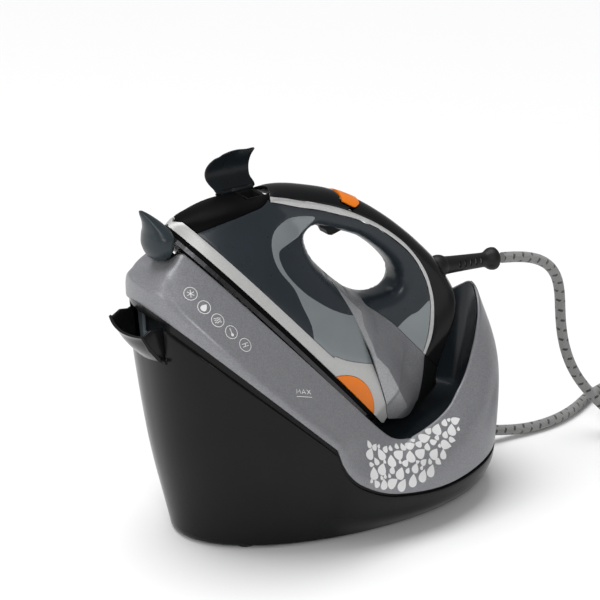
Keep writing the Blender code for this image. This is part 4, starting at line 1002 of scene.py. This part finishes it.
def make_shroud():
    """Light grey skirt along the sole, with a round lamp lens let into its heel end."""
    lens = [(LENS_CENTRE[0] + LENS_RADIUS * math.cos(a), LENS_CENTRE[1] + LENS_RADIUS * math.sin(a))
            for a in np.linspace(0, 2 * math.pi, 90, endpoint=False)]
    arc = sorted((p for p in offset_outline(lens, -GAP) if p[1] > -5.2), key=lambda p: p[0])
    shroud = ([(-20, 4.3)] + offset_line(SHROUD_RIM, -HALF_GAP)
              + [(251 - GAP, 2 - HALF_GAP), (251.5, -5), (253, -30), (arc[-1][0], -30)]
              + arc[::-1] + [(arc[0][0], -30), (-20, -30)])
    casing("shroud_skin", shroud, "light_grey", "light_grey", "lower_shroud", grip=False)
    on_both_sides("lens", lens, "orange", "orange", "pilot_lens", grow=0.25, spacing=1.8)


def pocket_line():
    """Side view of the filler's pocket: the part of the nose within the pocket's half-width."""
    line = []
    for s in np.linspace(*POCKET_S, 12):
        t = np.linspace(0.2, 1.0, 200)
        half, w = section(np.full_like(t, s), t)
        line.append((float(s), float(w[np.argmax(half < WELL["half"])])))
    return line + [(POCKET_S[1], 130), (POCKET_S[0], 130)]


def make_nose_cover():
    region = ([(-20, 4.8)] + offset_line(NOSE_RIM, HALF_GAP) + [(46.5 - HALF_GAP, 120), (-20, 120)])
    casing("nose_skin", clip_polygon(region, pocket_line()), "nose_black", "gloss_black", "nose_cover",
           grip=False, spacing=2.0)


def make_body():
    """Slate body about the finger opening, with its facets painted lighter as painted highlights, let in
    flush.
    """
    region = (offset_line(SHROUD_RIM, HALF_GAP) + [(262, 40), (262.0, 63.0)]
              + offset_line(TRIM_RIM, -HALF_GAP)[::-1] + offset_line(NOSE_RIM, -HALF_GAP)[::-1])
    region = clip_polygon(region, offset_outline(FAIRING, -HALF_GAP))
    region = clip_polygon(region, HOLE)
    # each petal is a painted highlight: a lighter grey laid flush into the slate
    for number, (outline, shade) in enumerate(HIGHLIGHT_PETALS):
        line = rounded(outline, steps=3)
        petal = clip_polygon(region, line, keep_outside=False)
        region = clip_polygon(region, line)
        casing(f"petal_{number + 1}", petal, shade, "slate", lip=0.8, spacing=2.0)
    casing("body_skin", region, "slate", "slate", "body_shell", spacing=2.2)


def fairing_relief(s, w):
    """A ridge that runs down the fairing from the opening to its lower tip."""
    away = distance_to(np.stack([s, w], 1), np.array(RIDGE, float), closed=False)
    reach = np.clip((s - 172.0) / 22.0, 0, 1)
    return RIDGE_HEIGHT * reach * np.clip(1 - away / 18.0, 0, 1)


def make_fairing():
    """Silver fairing behind the opening, with a painted highlight: lighter silver in front of its ridge.
    """
    fairing = clip_polygon(offset_outline(FAIRING, HALF_GAP), HOLE)
    # the facet in front of the ridge gets the painted-highlight silver, the rear keeps the plain silver
    facet = RIDGE + [(262, -10), (150, -10), (150, 52)]
    for place, outside, shade in (("front", False, "silver_painted_highlight"), ("rear", True, "silver")):
        casing(f"fairing_{place}", clip_polygon(fairing, facet, outside), shade, "satin_silver",
               "rear_fairing", spacing=2.0, relief=fairing_relief)


def make_handle():
    """Black handle cover with its orange button, and the heel cover under its tail."""
    region = (offset_line(COVER_RIM, HALF_GAP)
              + [(266, 66.2), (320, 66.2), (320, 160), (46.5 + HALF_GAP, 160)])
    casing("handle_skin", clip_polygon(region, BUTTON_ROOM), "gloss_black", "gloss_black", "handle_cover",
           grip=False, spacing=2.2)
    casing("button_cap", BUTTON, "orange", "orange", "steam_button", body="steam_button_body",
           grow=0.9, grip=False, spacing=1.5)
    heel = [(263, 65.8), (269.4, 51), (277.4, 33.2), (277.4, 1), (320, 1), (320, 65.8)]
    casing("heel_skin", heel, "satin_black", "gloss_black", "heel_cover", grip=False)


def make_trims():
    trim = offset_line(COVER_RIM, -HALF_GAP) + offset_line(TRIM_RIM, HALF_GAP)[::-1]
    on_both_sides("trim", trim, "bright_silver", "light_grey", "handle_trim", grow=0.35, spacing=1.6)


# ---- small parts of the iron and the base ---------------------------------------------------
def filled(name, outline, height, thickness, place, look, bevel):
    """A plate with an outline in (a, b), whose underside lies at height(points)."""
    made = bmesh.new()
    points = np.array(outline, float)
    centre = points.mean(0)
    layers = []
    for depth in (0.0, thickness):
        rows = []
        for share in (1.0, 0.9, 0.75, 0.55, 0.35, 0.15):
            ring = centre + share * (points - centre)
            rows.append([made.verts.new((a, b, c)) for (a, b), c in zip(ring, height(ring) + depth)])
        layers.append(rows)
    count = len(points)
    for rows, flip in ((layers[0], -1), (layers[1], 1)):
        for outer, inner in zip(rows[:-1], rows[1:]):
            for i in range(count):
                j = (i + 1) % count
                made.faces.new((outer[i], outer[j], inner[j], inner[i])[::flip])
        made.faces.new(rows[-1][::flip])
    for i in range(count):
        j = (i + 1) % count
        made.faces.new((layers[0][0][i], layers[0][0][j], layers[1][0][j], layers[1][0][i]))
    return finish_mesh(name, made, look, place, smooth_angle=40, bevel=bevel)


def make_flap():
    """Arched leaf of the iron's filler, standing open on its hinge."""
    outline = rounded([(10, 0), (5, 4), (0.8, 11), (0.6, 18), (3.5, 24), (8, 28.2), (12, 29.6), (15, 31.8),
                       (21, 33.6), (27, 33.8), (32, 32.9), (36, 32.3), (42.5, 31.8), (41, 25), (39.6, 17),
                       (39.2, 9), (39.6, 0)])
    hinge = Vector((0, FLAP_AXIS_Y, FLAP_AXIS_N + 1.0))

    def arch(points):
        return FLAP_AXIS_N + 6.5 * np.maximum(1 - ((points[:, 1] - FLAP_AXIS_Y) / 16.0) ** 2, -0.6)

    turn = (FACE @ Matrix.Translation(hinge) @ Matrix.Rotation(-FLAP_OPEN, 4, "X")
            @ Matrix.Translation(-hinge) @ Matrix.Translation((0, FLAP_AXIS_Y, 0))
            @ Matrix.Diagonal((1, -1, 1, 1)))
    leaf = filled("flap_leaf", outline, arch, 2.0, turn, "flap", bevel=0.5)
    keep_result(leaf)
    ends = [FACE @ Vector((u, hinge.y, hinge.z)) for u in (10.6, 38.6)]
    profile = [(0, 2.2), (0.5, 2.6), (8, 2.6), (8.4, 2.3), (8.8, 2.6), (27.4, 2.6), (27.9, 2.2)]
    join(leaf, turned("flap_knuckle", ends[0], ends[1] - ends[0], profile, "flap", sides=28))
    hand_over(leaf, "filler_flap_body", "slate", "filler_flap")


def make_well():
    """Dark lining of the filler's pocket, down to the funnel."""
    u0, u1, half = WELL["u0"] + 0.1, WELL["u1"] - 0.1, WELL["half"] - 0.1
    line = rounded([(u0, -half), (u1, -half), (u1, half), (u0, half)], steps=4)
    line = [(max(min(u, u1), u0), max(min(y, half), -half)) for u, y in line]
    middle, depth, wall = 27.7, 8.8, 0.9
    rings = []
    for inset, n in ((0.0, -1.0), (0.0, -depth), (wall, -depth), (wall, -1.0)):
        rings.append([(u + (inset if u < middle else -inset), y - math.copysign(inset, y), n)
                      for u, y in line])
    lining = finish_mesh("well_lining", ring_bmesh(rings, closed=True), "satin_black", FACE)
    hand_over(lining, "iron", "gloss_black")


def make_lever():
    """Thumb hook in front of the toe, a smooth shell with a curled tip."""
    table = np.array(LEVER_SECTIONS, float)
    turns = np.linspace(0, 2 * math.pi, 44, endpoint=False)
    rings = []
    for z in np.concatenate([[241.5, 241.9], np.linspace(243, 282, 36), [283.0]]):
        half, front, back = (curve_through(list(zip(table[:, 0], table[:, k])), z) for k in (1, 2, 3))
        middle, reach = (front + back) / 2, (back - front) / 2
        rings.append([(middle - reach * math.cos(a), half * math.sin(a), z) for a in turns])
    lever = finish_mesh("lever_hook", ring_bmesh(rings), "lever")
    toe = [(s - 3.0, y * 1.06 + math.copysign(2.2, y)) for s, y in sole_outline(0.0)]
    cut(lever, slab("toe_room", toe, -15.0, 60.0, IRON))
    s = np.linspace(0.0, 30.0, 12)
    x = TOE[0] + math.cos(TILT) * s + math.sin(TILT) * SOLE_BOTTOM_W
    right = [(a - 0.8, -b) for a, b in zip(x, sole_half(s) + 1.6)]
    left = [(a, -b) for a, b in right]
    cut(lever, slab("toe_way_up", right + left[::-1], 261.0, 320.0))
    add_bevel(lever, 0.6, segments=2, angle=40, harden=False)
    keep_result(lever)
    hand_over(lever, "lock_lever_body", "slate", "lock_lever")


def make_door():
    """Scooped door of the base's filler with its two cheeks and hinge barrel."""
    x, z = DOOR_HINGE
    half = DOOR_HALF
    heights = np.concatenate([[-1.0, 0.0], np.linspace(2, DOOR_LENGTH - 0.8, 14), [DOOR_LENGTH]])
    ys = np.concatenate([[-half, -half + 0.7], np.linspace(-half + 2.5, half - 2.5, 25),
                         [half - 0.7, half]])
    place = Matrix.Translation((x, 0, z)) @ Matrix.Rotation(-DOOR_TILT, 4, "Y")

    def skin(depth):
        rows = []
        for height in heights:
            belly = 1.6 * math.sin(math.pi * min(max(height, 0) / DOOR_LENGTH, 1))
            lip = 1.5 * max(0.0, (height - DOOR_LENGTH + 6.0) / 6.0) ** 2
            rows.append([(depth - 1.2 - belly - DOOR_BULGE * (1 - (y / half) ** 2) - lip, y, height)
                         for y in ys])
        return rows

    front, back = skin(0.0), skin(2.2)
    rings = [[row[k] for row in front] + [row[k] for row in reversed(back)] for k in range(len(ys))]
    door = finish_mesh("door_leaf", ring_bmesh(rings), "gloss_black", place, bevel=0.5)
    keep_result(door)
    parts = []
    outline = rounded([(-3.0, 0.5), (2.0, -2.0), (15.5, 20.5), (-2.2, 27.5)], steps=2)
    for side in (-1, 1):
        edges = sorted((side * (half - 0.1), side * (half - 2.2)))
        made = ring_bmesh([[(a, depth, b) for a, b in outline] for depth in edges])
        cheek = finish_mesh(f"door_cheek_{side}", made, "gloss_black", place, bevel=0.4)
        keep_result(cheek)
        parts.append(cheek)
    profile = [(0, 2.0), (0.7, 2.75), (2 * half - 0.7, 2.75), (2 * half, 2.0)]
    parts.append(turned("door_barrel", (x, -half, z), (0, 1, 0), profile, "gloss_black", sides=32))
    join(door, *parts)
    hand_over(door, "filler_door_body", "gloss_black", "filler_door")


def make_boot():
    """Cord boot: ball foot, slotted stem and flared collar, with the braid seen in the slots."""
    ball = [(d, math.sqrt(BALL_RADIUS ** 2 - d ** 2)) for d in (-9.2, -8.4, -7, -5, -2.5, 0, 2.5, 4, 5.2)]
    stem = [(5.9, 8.2), (6.6, 7.9), (8, 7.75), (13, 7.4), (24, 7.0), (35, 6.65), (46, 6.35)]
    collar = [(48, 6.6), (50, 7.6), (52, 8.8), (53.8, 9.6), (56, 9.95), (58, 9.7), (59.3, 8.6), (60, 7.2)]
    bore = [(60, 5.3), (55, 5.25), (6, 5.25), (5.5, 1.0)]
    boot = turned("boot_body", BOOT_BALL, BOOT_DIRECTION, ball + stem + collar + bore, "rubber", sides=56)
    along = Vector(BOOT_DIRECTION).normalized()
    side = Vector((0, 1, 0))
    axes = Matrix((along, side, along.cross(side))).transposed().to_4x4()
    half_slot = [(-0.85, -2.3), (-0.4, -2.8), (0.4, -2.8), (0.85, -2.3)]
    slot = half_slot + [(-a, -b) for a, b in half_slot]
    for d in (18.5 + 5.6 * k for k in range(5)):
        made = ring_bmesh([[(d + a, depth, b + 1.4) for a, b in slot] for depth in (-12, 12)])
        cut(boot, finish_mesh("boot_slot", made, None, Matrix.Translation(BOOT_BALL) @ axes))
    hand_over(boot, "iron", "rubber", "cord_boot")
    weave = [(0, 4.0), (0.5, 5.0)]
    weave += [(d, 5.0 + 0.12 * (k % 2)) for k, d in enumerate(np.arange(1, 50, 1.2))]
    core = turned("boot_core", Vector(BOOT_BALL) + 7 * along, along, weave, "braid", sides=28)
    hand_over(core, "iron", "braid")


def make_gland():
    """Cord gland of the base: a flange, and a nose with rings cut into it."""
    profile = [(-8, 8.2), (-7.6, 8.6), (-3, 8.6), (-2.9, 8.0), (6.8, 8.0), (7.4, 8.35), (9, 8.4),
               (10.2, 8.3)]
    for d in np.arange(11, 27, 3.2):
        r = 8.0 - 1.8 * (d - 11) / 19
        profile += [(d, r), (d + 0.2, r - 0.7), (d + 1.0, r - 0.7), (d + 1.2, r - 0.1)]
    profile += [(29.4, 6.2), (30, 5.8)]
    gland = turned("gland_body", GLAND, GLAND_DIRECTION, profile, "rubber", sides=40)
    hand_over(gland, "base", "rubber", "cord_gland")


# ---- printed marks ------------------------------------------------------------------------
PRINT_LIFT = 0.12
RAY_START = 40
RING_RADIUS = 5.3
RING_PLACES = [(-2.705, 1.64), (-2.609, 1.62), (-2.522, 1.605), (-2.443, 1.605), (-2.365, 1.6)]
MAX_PLACE = (-2.077, 1.65)
MAX_TURN = math.radians(-22)
MAX_LETTERS = [[(-6, -1.8), (-5.6, 1.8), (-4.4, -0.6), (-3.2, 1.8), (-2.8, -1.8)],
               [(-1.6, -1.8), (0, 1.8), (1.6, -1.8)], [(-0.9, -0.6), (0, -0.6), (0.9, -0.6)],
               [(2.9, -1.8), (4.4, 0), (5.9, 1.8)], [(2.9, 1.8), (4.4, 0), (5.9, -1.8)]]
DROPS_PLACE = (-1.42, 1.5)
DROPS_EDGE = [(-1.789, 1.745), (-1.728, 1.505), (-1.684, 1.085), (-1.614, 1.09), (-1.553, 1.08),
              (-1.475, 1.16), (-1.37, 1.2), (-1.274, 1.38), (-1.161, 1.54), (-1.082, 1.64),
              (-1.091, 1.775), (-1.196, 1.925), (-1.344, 1.97), (-1.562, 1.945), (-1.702, 1.835)]


class Print:
    """Thin printed shapes laid on a piece of the base, drawn in millimetres around one place."""

    def __init__(self, piece, angle, level, turn=0.0):
        points = [vert.co.copy() for vert in piece.data.vertices]
        self.tree = BVHTree.FromPolygons(points, [list(face.vertices) for face in piece.data.polygons])
        self.made = bmesh.new()
        at = np.array([angle])
        self.origin = Vector(base_point(at, level)[0])
        self.look_along(Vector(base_normal(at, level)[0]).normalized())
        hits = [self.cast(a, b) for a, b in ((0, 0), (5, 0), (-5, 0), (0, 5), (0, -5))]
        self.look_along(sum((normal for _, normal in hits if normal is not None), Vector()).normalized(),
                        turn)

    def look_along(self, out, turn=0.0):
        """Sets the drawing's axes on a plane with this normal."""
        self.out = out
        self.up = (Vector((0, 0, 1)) - out * out.z).normalized()
        if turn:
            self.up.rotate(Quaternion(out, turn))
        self.right = self.up.cross(out)

    def cast(self, a, b):
        start = self.origin + self.right * a + self.up * b + self.out * RAY_START
        return self.tree.ray_cast(start * MM, -self.out, 0.1)[:2]

    def spot(self, a, b):
        hit, normal = self.cast(a, b)
        return None if hit is None else self.made.verts.new(hit / MM + normal * PRINT_LIFT)

    def face(self, corners):
        if all(corners) and len(set(corners)) > 2:
            self.made.faces.new(corners)

    def stroke(self, line, width, closed=False):
        line = np.array(line, float)
        run = np.roll(line, -1, 0) - np.roll(line, 1, 0) if closed else np.gradient(line, axis=0)
        run /= np.linalg.norm(run, axis=1, keepdims=True)
        across = np.stack([-run[:, 1], run[:, 0]], 1) * width / 2
        left = [self.spot(*p) for p in line + across]
        right = [self.spot(*p) for p in line - across]
        count = len(line)
        for i in range(count if closed else count - 1):
            j = (i + 1) % count
            self.face((left[i], right[i], right[j], left[j]))

    def blob(self, outline):
        points = np.array(outline, float)
        centre = points.mean(0)
        rows = [[self.spot(*p) for p in centre + share * (points - centre)] for share in (1.0, 0.66, 0.33)]
        middle = self.spot(*centre)
        count = len(points)
        for outer, inner in zip(rows[:-1], rows[1:]):
            for i in range(count):
                self.face((outer[i], outer[(i + 1) % count], inner[(i + 1) % count], inner[i]))
        for i in range(count):
            self.face((rows[-1][i], rows[-1][(i + 1) % count], middle))

    def done(self, name):
        bmesh.ops.remove_doubles(self.made, verts=self.made.verts, dist=1e-5)
        self.made.normal_update()
        wrong = [f for f in self.made.faces if f.normal.dot(self.out) < 0]
        bmesh.ops.reverse_faces(self.made, faces=wrong)
        bmesh.ops.scale(self.made, vec=(MM, MM, MM), verts=self.made.verts)
        piece = add_object(name, self.made, "white_print")
        piece.data.shade_smooth()
        hand_over(piece, "base", "light_grey")


def drop(x, y, size, turn):
    """Teardrop with its tip along turn."""
    a = np.linspace(0, 2 * math.pi, 20, endpoint=False)
    across = 1.02 * size * np.sin(a) * np.abs(np.sin(a / 2)) ** 1.15
    along = size * np.cos(a)
    c, s = math.cos(turn), math.sin(turn)
    return np.stack([x + c * along - s * across, y + s * along + c * across], 1)


def circle(radius, count=40, y=0.0):
    a = np.linspace(0, 2 * math.pi, count, endpoint=False)
    return np.stack([radius * np.cos(a), y + radius * np.sin(a)], 1)


def star(sign):
    for turn in (0.4, 1.45, 2.5):
        c, s = 3.2 * math.cos(turn), 3.2 * math.sin(turn)
        sign.stroke([(-c, -s), (0, 0), (c, s)], 0.6)


def water_drop(sign):
    sign.blob(drop(0, -0.2, 3.4, 0.6))


def waves(sign):
    x = np.linspace(-3, 3, 13)
    for lift in (-1.6, 0.0, 1.6):
        sign.stroke(np.stack([x, lift + 0.5 * np.sin(2.1 * x)], 1), 0.55)


def thermometer(sign):
    sign.stroke([(0, -1.5), (0, 1), (0, 3.4)], 0.7)
    sign.blob(circle(1.3, 14, -2.2))


def bars(sign):
    for lift in (-1.1, 1.1):
        sign.stroke([(-3, lift), (0, lift), (3, lift)], 0.55)
    sign.blob(circle(0.6, 10))


def make_signs(cover):
    """Row of five rings with a simple sign in each."""
    for number, (place, draw) in enumerate(zip(RING_PLACES, (star, water_drop, waves, thermometer, bars))):
        sign = Print(cover, *place)
        sign.stroke(circle(RING_RADIUS), 0.55, closed=True)
        draw(sign)
        sign.done(f"sign_{number + 1}")


def make_level_mark(cover):
    mark = Print(cover, *MAX_PLACE, turn=MAX_TURN)
    for line in MAX_LETTERS:
        mark.stroke([(1.3 * x, y) for x, y in line], 0.6)
    mark.stroke([(x, -4.2) for x in np.linspace(-8.4, 8.4, 9)], 0.5)
    mark.done("level_mark")


def make_drops(cover):
    """Field of drops on the cover's tail, packed from large to small."""
    field = Print(cover, *DROPS_PLACE)
    edge = []
    for angle, level in DROPS_EDGE:
        away = Vector(base_point(np.array([angle]), level)[0]) - field.origin
        edge.append((away.dot(field.right), away.dot(field.up)))
    edge = np.array(edge)
    low, high = edge.min(0), edge.max(0)
    random = np.random.default_rng(7)
    placed = []
    for size, tries in ((5.4, 220), (4.4, 500), (3.5, 1200), (2.7, 2500), (2.0, 4000)):
        for _ in range(tries):
            spot = low + (high - low) * random.random(2)
            if not inside(spot[None], edge)[0] or distance_to(spot[None], edge)[0] < size * 0.6:
                continue
            if any(np.hypot(*(spot - other)) < 0.82 * (size + r) + 0.35 for other, r in placed):
                continue
            placed.append((spot, size))
            tilt = math.atan2(spot[1] - low[1] + 30, spot[0] - low[0] + 4) + random.normal(0, 0.5)
            field.blob(drop(*spot, size, tilt))
    field.done("drop_pattern")


# ---- floor and light ----------------------------------------------------------------------
def make_floor():
    made = bmesh.new()
    bmesh.ops.create_circle(made, cap_ends=True, segments=64, radius=6.0)
    floor = add_object("floor", made)
    shader = Shader("floor", (0.93, 0.93, 0.93), 0.7)
    shader.set(Specular_IOR_Level=0.1)
    floor.data.materials.append(shader.made)


def add_light(name, kind, power, direction):
    """A light that shines against a direction."""
    light = bpy.data.lights.new(name, kind)
    light.energy = power
    made = bpy.data.objects.new(name, light)
    bpy.context.collection.objects.link(made)
    made.rotation_euler = Vector(direction).to_track_quat("Z", "Y").to_euler()
    return made


def area_light(name, place, target, size, power):
    made = add_light(name, "AREA", power, Vector(place) - Vector(target))
    made.location = place
    made.data.shape = "RECTANGLE"
    made.data.size, made.data.size_y = size


def make_world():
    """White backdrop that lights the object less than it shows."""
    world = bpy.data.worlds.new("world")
    bpy.context.scene.world = world
    world.use_nodes = True
    nodes, links = world.node_tree.nodes, world.node_tree.links
    background = nodes["Background"]
    background.inputs["Color"].default_value = (1, 1, 1, 1)
    rays = nodes.new("ShaderNodeLightPath")
    span = nodes.new("ShaderNodeMapRange")
    span.inputs["To Min"].default_value = 0.3
    span.inputs["To Max"].default_value = 1.05
    links.new(rays.outputs["Is Camera Ray"], span.inputs["Value"])
    links.new(span.outputs["Result"], background.inputs["Strength"])


def make_light():
    make_world()
    bpy.context.scene.view_settings.view_transform = "Standard"
    key = add_light("key", "SUN", 2.35, (-0.12, 0.24, 1.0))
    key.data.angle = math.radians(44)
    area_light("front", (-1.1, -2.1, 1.4), (0, 0, 0.15), (1.0, 0.8), 17)
    area_light("left", (-2.0, 0.3, 1.1), (-0.1, 0, 0.15), (0.8, 1.2), 9)


# ---- the whole scene ------------------------------------------------------------------------
MATERIALS = make_materials()
dress_cad_nodes()
make_camera()
make_cord()
make_base_shell()
COVER = make_upper_cover()
make_cradle()
make_shroud()
make_nose_cover()
make_body()
make_fairing()
make_handle()
make_trims()
make_flap()
make_well()
make_lever()
make_door()
make_boot()
make_gland()
make_signs(COVER)
make_level_mark(COVER)
make_drops(COVER)
make_floor()
make_light()
